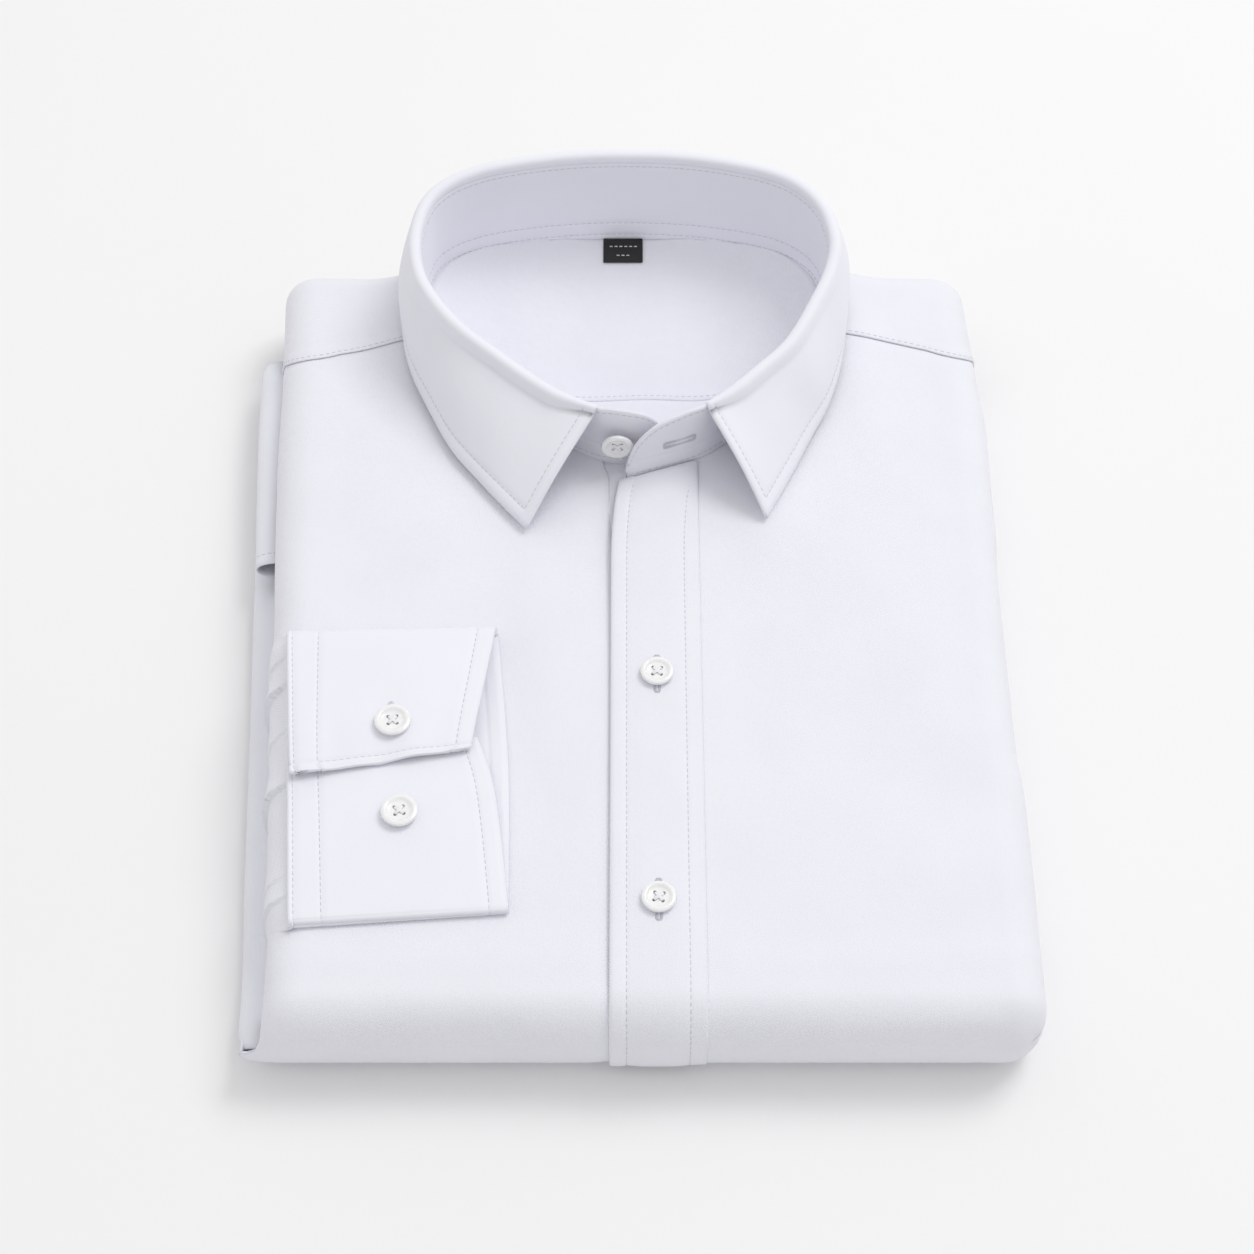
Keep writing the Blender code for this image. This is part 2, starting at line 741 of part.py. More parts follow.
def fall_section(place):
    """Middle line of the fall at one place of the route: over the roll and down to the hem."""
    roll = route_point(place)
    hem = Vector(curve_point(FALL_HEM, place - FIRST_ROLL))
    outward = Vector((hem.x - roll.x, hem.y - roll.y, 0.0)).normalized()
    square = route_outward(place)
    section = []
    for index, (out, down) in enumerate(ROLL_SECTION):
        share = index / (len(ROLL_SECTION) - 1)
        direction = (square * (1 - share) + outward * share).normalized()
        section.append(Vector((roll.x, roll.y, roll.z - down)) + direction * out)
    start = section[-1]
    for step in range(1, FALL_STEPS + 1):
        share = step / FALL_STEPS
        belly = FALL_BELLY * math.sin(math.pi * share)
        section.append(start.lerp(hem, share) + (outward + Vector((0, 0, 0.6))) * belly)
    return section


def collar_fall():
    """The collar itself: turned over the stand, with a point on each side of the front."""
    grid = [fall_section(place) for place in between(FIRST_ROLL, LAST_ROLL, 49)]
    return thick_wall("collar_fall", grid, 1.8, WHITE)


# Sleeve and cuff


def cuff():
    """One band of cloth wound flat: flap, top fold, back layer, bottom fold, front layer."""
    shares = between(0.0, 1.0, 7)
    grid = []
    for left_x, left_y, right_x, right_y, z in CUFF_BAND:
        start = Vector((left_x, left_y, z))
        end = Vector((right_x, right_y, z))
        grid.append([start.lerp(end, share) for share in shares])
    return thick_wall("cuff", grid, 1.6, WHITE)


def cuff_seam_x(y):
    top = CUFF_BAND[5]
    bottom = CUFF_BAND[11]
    share = (y - top[1]) / (bottom[1] - top[1])
    return top[0] + (bottom[0] - top[0]) * share


def pleat_lift(y):
    """How much the strip's pleats add: each rises sharply at its fold and fades away from it."""
    lift = 0.0
    for place, height in PLEATS:
        run = y - place
        if 0 <= run < PLEAT_FADE:
            lift = max(lift, height * (1 - run / PLEAT_FADE))
    return lift


def sleeve_strip():
    """The end of the sleeve, pleated into the cuff, which wraps over the left edge."""
    stations = set(between(STRIP_TOP_Y, STRIP_BOTTOM_Y, 13))
    for place, _ in PLEATS:
        stations |= {place - 0.8, place}
    lines = []
    for t in sorted(stations, reverse=True):
        edge = read_table(LEFT_EDGE, t)
        seam = min(cuff_seam_x(t), -114.2) - 1.2
        first_turn = (edge + FOLD_RADIUS - seam) / FOLD_RADIUS
        lines.append([(edge + FOLD_RADIUS * (1 - turn), t) for turn in between(first_turn, STRIP_TURN, 8)])

    def lift(s, t):
        edge = read_table(LEFT_EDGE, t)
        share = min(1.0, max(0.0, (s - edge) / 10.0))
        return STRIP_LIFT_EDGE + (STRIP_LIFT_SEAM - STRIP_LIFT_EDGE) * share ** 2 + pleat_lift(t)
    return closed_wall("sleeve_right", pile_grid(lines, lift), pile_grid(lines, STRIP_UNDER_LIFT), WHITE)


def side_layer(name, y_front, heights, inset, thin_end):
    """A folded layer of the sleeve that stands out on the left: a flat tube, open where it tucks in.

    With thin_end its front end thins away as its back end does, so that it goes in behind the corner.
    """
    low, high = heights
    middle = (low + high) / 2
    half = (high - low) / 2 - CLOTH / 2
    grid = []
    for y in between(SIDE_LAYER_BACK_Y - inset, y_front, 13):
        nose = read_table(SIDE_LAYER_OUT, y) + inset + CLOTH / 2
        tuck = read_table(LEFT_EDGE, y) + SIDE_TUCK
        thin = smooth_step((SIDE_LAYER_BACK_Y + 3 - y) / 16) * half
        if thin_end:
            thin *= smooth_step((y - y_front + 3) / 16)
        reach = min(half, 6.0)
        line = [Vector((tuck, y, middle + thin))]
        for angle in between(90, 270, 7):
            line.append(Vector((nose + reach + reach * math.cos(math.radians(angle)), y,
                                middle + thin * math.sin(math.radians(angle)))))
        line.append(Vector((tuck, y, middle - thin)))
        grid.append(line)
    return thick_wall(name, grid, CLOTH, WHITE)


# Underside and hidden layers


def flat_panel(name, left, right, y_from, hem, z):
    """A flat panel of the underside, with a curved hem."""
    outer = []
    for share in between(0.0, 1.0, 13):
        x = left + (right - left) * share
        outer.append([Vector((x, y_from + (hem(x) - y_from) * level, z)) for level in between(0.0, 1.0, 4)])
    top = [[point + Vector((0, 0, CLOTH)) for point in line] for line in outer]
    return closed_wall(name, top, outer, WHITE)


UNDER_FRONT_Y = FRONT_FOLD_Y + FOLD_RADIUS + UNDER_MARGIN + 0.5
UNDER_LEFT_X = -111.0
UNDER_RIGHT_X = 93.0


def shirt_tail():
    """The shirt's tail, folded up over the back: it is the face that the shirt rests on."""
    middle = (UNDER_LEFT_X + UNDER_RIGHT_X) / 2
    half = (UNDER_RIGHT_X - UNDER_LEFT_X) / 2
    return flat_panel("shirt_tail", UNDER_LEFT_X, UNDER_RIGHT_X, UNDER_FRONT_Y,
                      lambda x: TAIL_HEM_Y + TAIL_HEM_RISE * (1 - ((x - middle) / half) ** 2), 0.0)


def back_outer():
    """The back of the shirt above the tail, seen from below past the tail's hem."""
    return flat_panel("back_outer", UNDER_LEFT_X, UNDER_RIGHT_X, -100.0, lambda x: 145.0, CLOTH + GAP)


def in_neck(x, y):
    """Whether a point lies inside the neckline, or within NECK_CLEAR of it."""
    if y < NECK_FLOOR_FRONT_Y - NECK_CLEAR or y > neck_back(x) + NECK_CLEAR:
        return False
    return neck_side(y, -1) - NECK_CLEAR < x < neck_side(y, 1) + NECK_CLEAR


def core_point(u, v, turn, lift, under):
    """Point of the hidden layers: u across and v along from 0 to 1, out to the turn of the fold edges."""
    reach = FOLD_RADIUS * (turn - 1)
    front = FRONT_FOLD_Y - reach
    t = front + v * (BACK_EDGE_Y + reach - front)
    left = read_table(LEFT_EDGE, t) + CORE_LEFT_INSET - reach
    s = left + u * (read_table(RIGHT_EDGE, t) + reach - left)
    t += v * (back_edge(s) - BACK_EDGE_Y)
    point = pile_point(s, t, lift, CORE_LEFT_INSET, under)
    point.y -= CORE_BACK_INSET * v
    if not under and in_neck(point.x, point.y):
        point.z = min(point.z, neck_floor(point.x, point.y) - CLOTH - NECK_FLOOR_CLEAR)
    return point


def folded_core():
    """The hidden layers of back, tail and sleeves as one rounded solid, grooved into layers at its edges."""
    across = between(0.0, 1.0, CORE_COLUMNS)
    along = between(0.0, CORE_NECK_SHARE, CORE_FRONT_ROWS)[:-1]
    along += between(CORE_NECK_SHARE, 1.0, CORE_NECK_ROWS)
    rim = [(u, 0.0) for u in across] + [(1.0, v) for v in along[1:]]
    rim += [(u, 1.0) for u in across[-2::-1]] + [(0.0, v) for v in along[-2:0:-1]]
    mesh_data = bmesh.new()
    skins = []
    for under, lift in ((False, -CORE_TOP), (True, -CORE_UNDER)):
        skins.append({(u, v): mesh_data.verts.new(core_point(u, v, CORE_START_TURN, lift, under))
                      for u in across for v in along})
    loops = [[skins[0][key] for key in rim]]
    for step in range(1, 2 * CORE_LAYERS):
        share = step / (2 * CORE_LAYERS)
        turn = CORE_START_TURN + (math.pi / 2 - CORE_START_TURN) * (1 - abs(2 * share - 1))
        lift = -CORE_TOP - (CORE_UNDER - CORE_TOP) * share - (CORE_GROOVE if step % 2 else 0.0)
        loops.append([mesh_data.verts.new(core_point(u, v, turn, lift, share > 0.5)) for u, v in rim])
    loops.append([skins[1][key] for key in rim])
    for low, high in zip(loops, loops[1:]):
        for index in range(len(rim)):
            follow = (index + 1) % len(rim)
            mesh_data.faces.new((low[index], high[index], high[follow], low[follow]))
    for u_low, u_high in zip(across, across[1:]):
        for v_low, v_high in zip(along, along[1:]):
            ring = [(u_low, v_low), (u_high, v_low), (u_high, v_high), (u_low, v_high)]
            mesh_data.faces.new([skins[0][key] for key in ring])
            mesh_data.faces.new([skins[1][key] for key in reversed(ring)])
    return new_object("folded_core", mesh_data, WHITE)


def build_button(name, place, width, facing):
    """A four-hole button with a raised rim; facing turns its top from +Z."""
    mesh_data = bmesh.new()
    radius = width / 2
    profile = (
        # radius, height
        (radius - 0.7, 0.0),
        (radius, 0.9),
        (radius - 0.2, BUTTON_HEIGHT - 0.5),
        (radius - 1.0, BUTTON_HEIGHT),
        (radius - 1.8, BUTTON_HEIGHT - 0.7),
    )
    angles = [2 * math.pi * side / BUTTON_SIDES for side in range(BUTTON_SIDES)]
    rings = []
    for ring, height in profile:
        rings.append([mesh_data.verts.new((ring * math.cos(angle), ring * math.sin(angle), height))
                      for angle in angles])
    for low, high in zip(rings, rings[1:]):
        for side in range(BUTTON_SIDES):
            follow = (side + 1) % BUTTON_SIDES
            mesh_data.faces.new((low[side], low[follow], high[follow], high[side]))
    mesh_data.faces.new(rings[0][::-1])
    mesh_data.faces.new(rings[-1])
    item = new_object(name, mesh_data, BUTTON_WHITE, 0.25)
    drill = hole_cutter(name)
    cut = item.modifiers.new("holes", "BOOLEAN")
    cut.operation = "DIFFERENCE"
    cut.solver = "EXACT"
    cut.object = drill
    pose = Matrix.Translation(Vector(place) * MM) @ facing.to_4x4()
    item.matrix_world = pose
    drill.matrix_world = pose
    return item


def hole_cutter(name):
    """Four pegs that drill a button's holes."""
    mesh_data = bmesh.new()
    offset = HOLE_SPACING / 2
    for x in (-offset, offset):
        for y in (-offset, offset):
            bmesh.ops.create_cone(mesh_data, cap_ends=True, segments=6, radius1=HOLE_WIDTH / 2,
                                  radius2=HOLE_WIDTH / 2, depth=3 * BUTTON_HEIGHT,
                                  matrix=Matrix.Translation((x, y, BUTTON_HEIGHT / 2)))
    drill = new_object(name + "_drill", mesh_data, BUTTON_WHITE, smooth=False)
    drill.hide_render = True
    drill.display_type = "WIRE"
    return drill


def buttons():
    upright = Matrix.Identity(3)
    forward = Matrix.Rotation(math.radians(90), 3, "X")
    build_button("collar_button", COLLAR_BUTTON, COLLAR_BUTTON_WIDTH, forward)
    top = PILE_HEIGHT + CLOTH + 2 * GAP
    for number, y in enumerate(PLACKET_BUTTONS_Y, start=1):
        place = (PLACKET_BUTTON_X, y, top)
        build_button(f"placket_button_{number}", place, PLACKET_BUTTON_WIDTH, upright)
    for number, place in enumerate(CUFF_BUTTONS, start=1):
        build_button(f"cuff_button_{number}", place, CUFF_BUTTON_WIDTH, upright)


def build_shirt():
    clear_scene()
    front_left()
    front_right()
    placket()
    button_band()
    yoke()
    neck_panel("yoke_inner", YOKE_SEAM_Y + GAP, 180.0, 9, WHITE)
    neck_panel("back_panel", NECK_FLOOR_FRONT_Y, YOKE_SEAM_Y, 5, WHITE)
    neck_label()
    collar_stand()
    collar_fall()
    cuff()
    sleeve_strip()
    side_layer("side_layer_lower", LOWER_LAYER_END_Y, LOWER_LAYER_Z, 0.0, True)
    side_layer("side_layer_upper", UPPER_LAYER_END_Y, UPPER_LAYER_Z, UPPER_LAYER_INSET, False)
    shirt_tail()
    back_outer()
    folded_core()
    buttons()


build_shirt()
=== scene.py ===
# %% [markdown]
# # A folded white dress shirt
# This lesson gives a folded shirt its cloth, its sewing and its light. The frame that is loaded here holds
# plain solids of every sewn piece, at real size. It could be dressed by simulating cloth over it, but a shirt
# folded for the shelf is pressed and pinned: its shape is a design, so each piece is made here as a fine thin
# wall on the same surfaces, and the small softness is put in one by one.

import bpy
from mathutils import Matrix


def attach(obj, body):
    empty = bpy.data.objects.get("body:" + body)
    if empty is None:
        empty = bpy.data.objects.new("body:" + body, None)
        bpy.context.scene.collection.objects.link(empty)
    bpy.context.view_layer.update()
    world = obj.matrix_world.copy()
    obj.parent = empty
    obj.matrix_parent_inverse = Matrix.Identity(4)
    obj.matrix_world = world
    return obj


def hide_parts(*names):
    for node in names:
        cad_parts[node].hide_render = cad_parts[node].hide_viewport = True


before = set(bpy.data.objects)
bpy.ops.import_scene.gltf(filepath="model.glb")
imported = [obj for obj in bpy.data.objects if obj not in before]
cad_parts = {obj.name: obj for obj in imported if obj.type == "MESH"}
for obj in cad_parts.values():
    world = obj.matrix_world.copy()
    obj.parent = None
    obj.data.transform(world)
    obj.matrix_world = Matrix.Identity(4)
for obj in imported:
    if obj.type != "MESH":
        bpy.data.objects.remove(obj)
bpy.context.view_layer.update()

# %% [markdown]
# ## Millimetres and smooth tables
# A tailor thinks in millimetres, so every size below is one, and meshes are turned to metres at the very end.
# Edges, seams and the collar's route are short tables. A smooth curve runs through their rows, which could
# also be a Blender curve object, but a function can be asked for any point without adding an object.

# %% Small maths that every piece uses
import bisect
import math

import bmesh
import bpy
from mathutils import Matrix, Vector

MM = 0.001


def smooth_step(value):
    """0 below 0, 1 above 1 and an easy S curve between."""
    value = min(1.0, max(0.0, value))
    return value * value * (3 - 2 * value)


def curve_point(rows, place):
    """Point of a smooth curve through the rows; place counts the rows from 0."""
    index = min(len(rows) - 2, max(0, int(place)))
    step = place - index
    before = rows[max(0, index - 1)]
    after = rows[min(len(rows) - 1, index + 2)]
    point = []
    for a, b, c, d in zip(before, rows[index], rows[index + 1], after):
        point.append(0.5 * (2 * b + (c - a) * step + (2 * a - 5 * b + 4 * c - d) * step ** 2
                            + (3 * b - a - 3 * c + d) * step ** 3))
    return point


def read_table(table, key):
    """Smooth value from a table of two columns, held at its ends."""
    keys = [row[0] for row in table]
    if key <= keys[0]:
        return table[0][1]
    if key >= keys[-1]:
        return table[-1][1]
    index = bisect.bisect_right(keys, key) - 1
    return curve_point(table, index + (key - keys[index]) / (keys[index + 1] - keys[index]))[1]


def look_up(table, key):
    """Straight-line value from a table of two columns, held at its ends."""
    keys = [row[0] for row in table]
    index = min(len(keys) - 2, max(0, bisect.bisect_right(keys, key) - 1))
    share = min(1.0, max(0.0, (key - keys[index]) / (keys[index + 1] - keys[index])))
    return table[index][1] + (table[index + 1][1] - table[index][1]) * share


def between(start, end, count):
    """Evenly spaced values from start to end, both included."""
    return [start + (end - start) * index / (count - 1) for index in range(count)]


print("a smooth step half way up is", smooth_step(0.5))

# %% [markdown]
# ## The folded pile
# The shirt is folded to 275 by 342 mm and 38 mm high. Every panel lies on that pile or wraps round its edges.
# One function gives a point of the pile's skin from a place on the flat cloth: s runs across the cloth and t
# along it, and past a fold edge the point goes round a soft half circle, pressed a little squarer at the
# sides. Cloth that lies on other cloth uses the same function further out, so layers nest as in a real pile.

# %% The pile's edges and its skin
PILE_HEIGHT = 38.0
MIDDLE = PILE_HEIGHT / 2
FRONT_FOLD_Y = -171.8
BACK_EDGE_Y = 171.0
BACK_BULGE = 22.0
BULGE_X = (62.0, 92.0)
FOLD_RADIUS = 14.0
# how far a corner is drawn in, and the left front corner less
CORNER_PULL = 5.0
LEFT_CORNER_PULL = 0.5
FOLD_STEPS = 21
# 1 is a round fold and less is a squarer one, along the sides and under the left front corner
SIDE_SQUARE = 0.62
CORNER_SQUARE = 0.35
FLAT_END = FRONT_FOLD_Y + FOLD_RADIUS
NECK_RISE = 7.5
RISE_Y = (95.0, 180.0)
RISE_X = (75.0, 105.0)
GAP = 0.3

LEFT_EDGE = (
    # y, x
    (-170.0, -121.3),
    (-133.0, -121.7),
    (-88.0, -124.2),
    (2.0, -129.9),
    (60.0, -133.5),
    (86.0, -134.8),
    (114.0, -135.5),
    (172.0, -138.1),
)
LEFT_FLARE = (
    # turn round the bottom fold in radians, how far the left edge spreads
    (0.0, 0.0),
    (0.4, 0.3),
    (0.85, 1.0),
    (1.17, 2.3),
    (1.4, 3.8),
    (1.5, 6.2),
    (1.64, 8.0),
    (3.2, 8.4),
)
RIGHT_EDGE = (
    # y, x
    (-170.0, 139.6),
    (-141.0, 139.7),
    (-60.0, 139.2),
    (60.0, 138.6),
    (100.0, 138.4),
    (172.0, 134.9),
)


def back_edge(x):
    """y of the back fold, which bulges out behind the collar."""
    bulge = smooth_step((BULGE_X[1] - abs(x)) / (BULGE_X[1] - BULGE_X[0]))
    return BACK_EDGE_Y + BACK_BULGE * bulge


def pile_top(x, y):
    """Height of the pile's top, which rises towards the back of the neck."""
    rise = smooth_step((y - RISE_Y[0]) / (RISE_Y[1] - RISE_Y[0]))
    fade = smooth_step((RISE_X[1] - abs(x)) / (RISE_X[1] - RISE_X[0]))
    return PILE_HEIGHT + NECK_RISE * rise * fade


def bend(place, low, high, lift):
    """Follow a cloth over the fold edges at low and high: its position, the angle turned, and the side."""
    middle = (low + high) / 2
    side = 1 if place > middle else -1
    flat_end = abs((high if side > 0 else low) - middle) - FOLD_RADIUS
    run = abs(place - middle) - flat_end
    if run <= 0:
        return place, 0.0, side
    turn = run / FOLD_RADIUS
    if turn < math.pi:
        return middle + side * (flat_end + (FOLD_RADIUS + lift) * math.sin(turn)), turn, side
    return middle + side * (flat_end - (turn - math.pi) * FOLD_RADIUS), math.pi, side


def edge_place(y, turn_y, side_y):
    """Where to read the side edges: past the nose of the bottom fold they stay as wide as at the nose."""
    return FRONT_FOLD_Y if side_y < 0 and turn_y > math.pi / 2 else y


def left_edge(y, turn_y, side_y):
    """The left edge, which spreads out where the cloth goes round the bottom fold."""
    flare = look_up(LEFT_FLARE, turn_y) if side_y < 0 else 0.0
    return read_table(LEFT_EDGE, edge_place(y, turn_y, side_y)) - flare


def pile_point(s, t, lift=0.0, left_inset=0.0, under=False):
    """Point of the pile's skin for a place (s, t) on the flat cloth; lift moves it out of the skin."""
    y, turn_y, side_y = bend(t, FRONT_FOLD_Y, back_edge(s), lift)
    left = left_edge(y, turn_y, side_y) + left_inset
    x, turn_x, side_x = bend(s, left, read_table(RIGHT_EDGE, edge_place(y, turn_y, side_y)), lift)
    left_front = side_x < 0 and side_y < 0
    square = SIDE_SQUARE + (1 - SIDE_SQUARE) * math.sin(turn_y) ** 2
    if left_front and turn_y > math.pi / 2:
        square = CORNER_SQUARE
    across = math.copysign(abs(math.cos(turn_x)) ** square, math.cos(turn_x))
    level = across * math.cos(turn_y) * (-1 if under else 1)
    pull = LEFT_CORNER_PULL if left_front else CORNER_PULL
    corner = pull * (math.sin(turn_x) * math.sin(turn_y)) ** 2
    half = pile_top(x, y) - MIDDLE if level > 0 else MIDDLE
    return Vector((x - side_x * corner, y - side_y * corner, MIDDLE + (half + lift) * level))


def turn_stations(edge, outward, last_turn, margin=0.0):
    """Places along a cloth from the start of a fold edge round it, by equal angles, and past it."""
    start = edge - outward * FOLD_RADIUS
    step = math.pi / FOLD_STEPS
    turns = [step * index for index in range(FOLD_STEPS + 1) if step * index < last_turn - 0.01]
    stations = [start + outward * FOLD_RADIUS * turn for turn in turns + [last_turn]]
    if margin:
        stations += [stations[-1] + outward * margin * part for part in (0.33, 0.67, 1.0)]
    return stations


print("the pile's middle is", [round(v, 1) for v in pile_point(0, 0)], "mm")

# %% [markdown]
# ## Soft creases, placed one by one
# Pressed cotton is never quite flat: it swells beside a seam, dips under the collar and rolls up a little
# before a fold. These could come from a noise texture, but noise looks like noise. Each crease below is a
# soft line with a start, an end, a width, a bow and a height, so it can be put where it belongs. Ridges
# have a positive height and troughs a negative one, and they run on round the sides of the pile.

# %% The creases of the fronts and the yoke
CREASE_ENDS = 0.5
CREASES = (
    # s1, t1, s2, t2, half width, bow, height
    (62, 46, 112, -42, 17, 6, 0.75),
    (40, 30, 46, -70, 9, -2, -0.45),
    (120, 104, 121, -40, 11, 3, -0.7),
    (101, 60, 88, 118, 9, 3, 0.5),
    (60, -40, 128, -84, 15, -7, -0.55),
    (52, -98, 121, -113, 16, 4, 0.45),
    (38, -147, 128, -145, 7, 0, 0.55),
    (-118, 104, -119, 4, 8, 2, 0.75),
    (-93, 112, -47, 28, 11, -5, -0.85),
    (-36, 22, -26, -62, 11, 3, 0.8),
    (-100, 52, -66, 8, 13, 4, 0.55),
    (-116, -147, -14, -146, 7, 0, 0.55),
    (-30, -72, -24, -126, 10, -2, -0.35),
    (-58, 20, -96, 2, 8, 2, -0.4),
    (-112, 152, -93, 160, 10, 2, -0.6),
    (-124, 128, -98, 140, 8, 2, 0.5),
    (104, 146, 124, 158, 9, -2, -0.6),
    (96, 130, 126, 134, 7, 1, 0.5),
    (141, 96, 150, 40, 9, 2, 0.8),
    (150, 20, 144, -60, 10, -3, -0.8),
    (142, -72, 152, -118, 8, 2, 0.6),
    (-60, 188, -20, 196, 8, 2, 0.7),
    (10, 198, 52, 190, 9, -2, -0.7),
    (70, -172, 118, -168, 5, 1, 0.5),
    (-90, -176, -40, -171, 5, 1, -0.4),
)


def crease_height(s, t):
    """Sum of the creases' soft heights at one place of the flat cloth."""
    height = 0.0
    for s1, t1, s2, t2, width, bow, rise in CREASES:
        run_s = s2 - s1
        run_t = t2 - t1
        length = math.hypot(run_s, run_t)
        along = ((s - s1) * run_s + (t - t1) * run_t) / length ** 2
        if not -CREASE_ENDS < along < 1 + CREASE_ENDS:
            continue
        inside = min(1.0, max(0.0, along))
        curve = bow * math.sin(math.pi * inside)
        off_s = s - s1 - run_s * inside + run_t / length * curve
        off_t = t - t1 - run_t * inside - run_s / length * curve
        height += rise * math.exp(-(off_s ** 2 + off_t ** 2) / width ** 2)
    return height


print("deepest hand-placed trough:", min(row[-1] for row in CREASES), "mm")

# %% [markdown]
# ## From a grid of points to a wall of cloth
# A piece of cloth is two skins a small way apart, joined by a rounded edge. The Solidify modifier could make
# the second skin, but building both from the same rows keeps each layer exactly where it nests, and lets a
# stitch line press one skin in. The weave needs UVs in millimetres of flat cloth, so they are made here too:
# from (s, t) where a piece has them, or else from lengths measured along the rows.

# %% Objects and flat sizes
def add_object(name, data):
    """A new object in the scene."""
    item = bpy.data.objects.new(name, data)
    bpy.context.scene.collection.objects.link(item)
    return item


def measured_flat(grid):
    """UVs in millimetres for a grid: distance along each row and down each column."""
    across = [0.0]
    middle = grid[len(grid) // 2]
    for start, end in zip(middle, middle[1:]):
        across.append(across[-1] + (end - start).length)
    down = [0.0]
    column = len(middle) // 2
    for start, end in zip(grid, grid[1:]):
        down.append(down[-1] + (end[column] - start[column]).length)
    return [[(u, v) for u in across] for v in down]


# %% A closed wall with rounded edges
ROUND_EDGE = 0.42


def edge_push(cells, grid):
    """For each corner of the cells, the direction away from the cloth around it."""
    around = {}
    for r, c in cells:
        ring = [(r, c), (r, c + 1), (r + 1, c + 1), (r + 1, c)]
        center = sum((grid[a][b] for a, b in ring), Vector()) / 4
        for key in ring:
            around.setdefault(key, []).append(center)
    return {key: grid[key[0]][key[1]] - sum(near, Vector()) / len(near) for key, near in around.items()}


def cloth_wall(name, outer, inner, material, flat=None, keep=None):
    """A closed cloth wall between two grids of points in millimetres, with soft rounded edges."""
    flat = flat or measured_flat(outer)
    cells = [(r, c) for r in range(len(outer) - 1) for c in range(len(outer[0]) - 1)
             if keep is None or keep(r, c)]
    used = sorted({(r + dr, c + dc) for r, c in cells for dr in (0, 1) for dc in (0, 1)})
    skins = [{key: number for number, key in enumerate(used)},
             {key: number + len(used) for number, key in enumerate(used)}]
    corners = [outer[r][c] for r, c in used] + [inner[r][c] for r, c in used]
    places = [flat[r][c] for r, c in used] * 2
    faces = []
    sides = {}
    for r, c in cells:
        ring = [(r, c), (r, c + 1), (r + 1, c + 1), (r + 1, c)]
        faces.append([skins[0][key] for key in ring])
        faces.append([skins[1][key] for key in reversed(ring)])
        for pair in zip(ring, ring[1:] + ring[:1]):
            sides.setdefault(frozenset(pair), []).append(pair)
    push = edge_push(cells, outer)
    rim = {}
    for uses in sides.values():
        if len(uses) > 1:
            continue
        for key in uses[0]:
            if key not in rim:
                top, bottom = outer[key[0]][key[1]], inner[key[0]][key[1]]
                through = top - bottom
                out = push[key] - through * (push[key].dot(through) / max(through.length_squared, 1e-9))
                rim[key] = len(corners)
                corners.append((top + bottom) / 2 + out.normalized() * through.length * ROUND_EDGE)
                places.append(flat[key[0]][key[1]])
        start, end = uses[0]
        faces.append([skins[0][end], skins[0][start], rim[start], rim[end]])
        faces.append([rim[end], rim[start], skins[1][start], skins[1][end]])
    return mesh_piece(name, corners, faces, material, places)


def mesh_piece(name, corners, faces, material, places=None):
    """A smooth closed object from points in millimetres."""
    mesh = bpy.data.meshes.new(name)
    mesh.from_pydata([corner * MM for corner in corners], [], faces)
    shape = bmesh.new()
    shape.from_mesh(mesh)
    bmesh.ops.recalc_face_normals(shape, faces=shape.faces)
    shape.to_mesh(mesh)
    shape.free()
    if places:
        weave = mesh.uv_layers.new(name="weave")
        for loop in mesh.loops:
            weave.data[loop.index].uv = places[loop.vertex_index]
    mesh.materials.append(material)
    mesh.shade_smooth()
    print(f"{name}: {len(mesh.polygons)} faces")
    return add_object(name, mesh)


def lowered(grid, depth):
    """The same grid, straight down by a depth."""
    return [[point - Vector((0, 0, depth)) for point in line] for line in grid]


# %% Walls with the grid as their middle
def grid_normals(grid):
    """Unit normals of a grid of points, from its rows and columns."""
    rows = len(grid)
    columns = len(grid[0])
    normals = []
    for r in range(rows):
        line = []
        for c in range(columns):
            along = grid[min(rows - 1, r + 1)][c] - grid[max(0, r - 1)][c]
            across = grid[r][min(columns - 1, c + 1)] - grid[r][max(0, c - 1)]
            line.append(across.cross(along).normalized())
        normals.append(line)
    return normals


def both_skins(grid, thickness, press=None):
    """The two skins of a wall round a middle grid; press(row, column) is how far a seam sinks in them."""
    normals = grid_normals(grid)
    skins = ([], [])
    for r, (line, line_normals) in enumerate(zip(grid, normals)):
        for skin, side in zip(skins, (1, -1)):
            skin.append([point + normal * side * (thickness / 2 - (press(r, c) if press else 0.0))
                         for c, (point, normal) in enumerate(zip(line, line_normals))])
    return skins


# %% [markdown]
# ## The cotton
# A business shirt is a fine two-ply cotton twill: white with a cool tint, diagonal ribs less than a
# millimetre apart, and the soft glow of short fibres along its edges. An image could be tiled over it, but
# UVs in millimetres let plain waves draw the yarns at real size. The collar and the cuff are fused to an
# interlining, so they are a little smoother. Values that are the same all over sit on the shader itself.

# %% Nodes that several materials use
def new_material(name):
    """A material with nodes, its tree and its shader."""
    material = bpy.data.materials.new(name)
    material.use_nodes = True
    return material, material.node_tree, material.node_tree.nodes["Principled BSDF"]


def add_math(tree, operation, first, second=None):
    """A Math node; each input is a socket or a number."""
    node = tree.nodes.new("ShaderNodeMath")
    node.operation = operation
    for socket, value in zip(node.inputs, (first, second)):
        if isinstance(value, (int, float)):
            socket.default_value = value
        elif value is not None:
            tree.links.new(value, socket)
    return node.outputs[0]


def color_ramp(tree, driver, dark, light, low=0.3, high=0.7):
    """Blends from a dark to a light colour as the driver goes from low to high."""
    ramp = tree.nodes.new("ShaderNodeValToRGB")
    ramp.color_ramp.elements[0].position = low
    ramp.color_ramp.elements[0].color = (*dark, 1.0)
    ramp.color_ramp.elements[1].position = high
    ramp.color_ramp.elements[1].color = (*light, 1.0)
    tree.links.new(driver, ramp.inputs[0])
    return ramp.outputs[0]


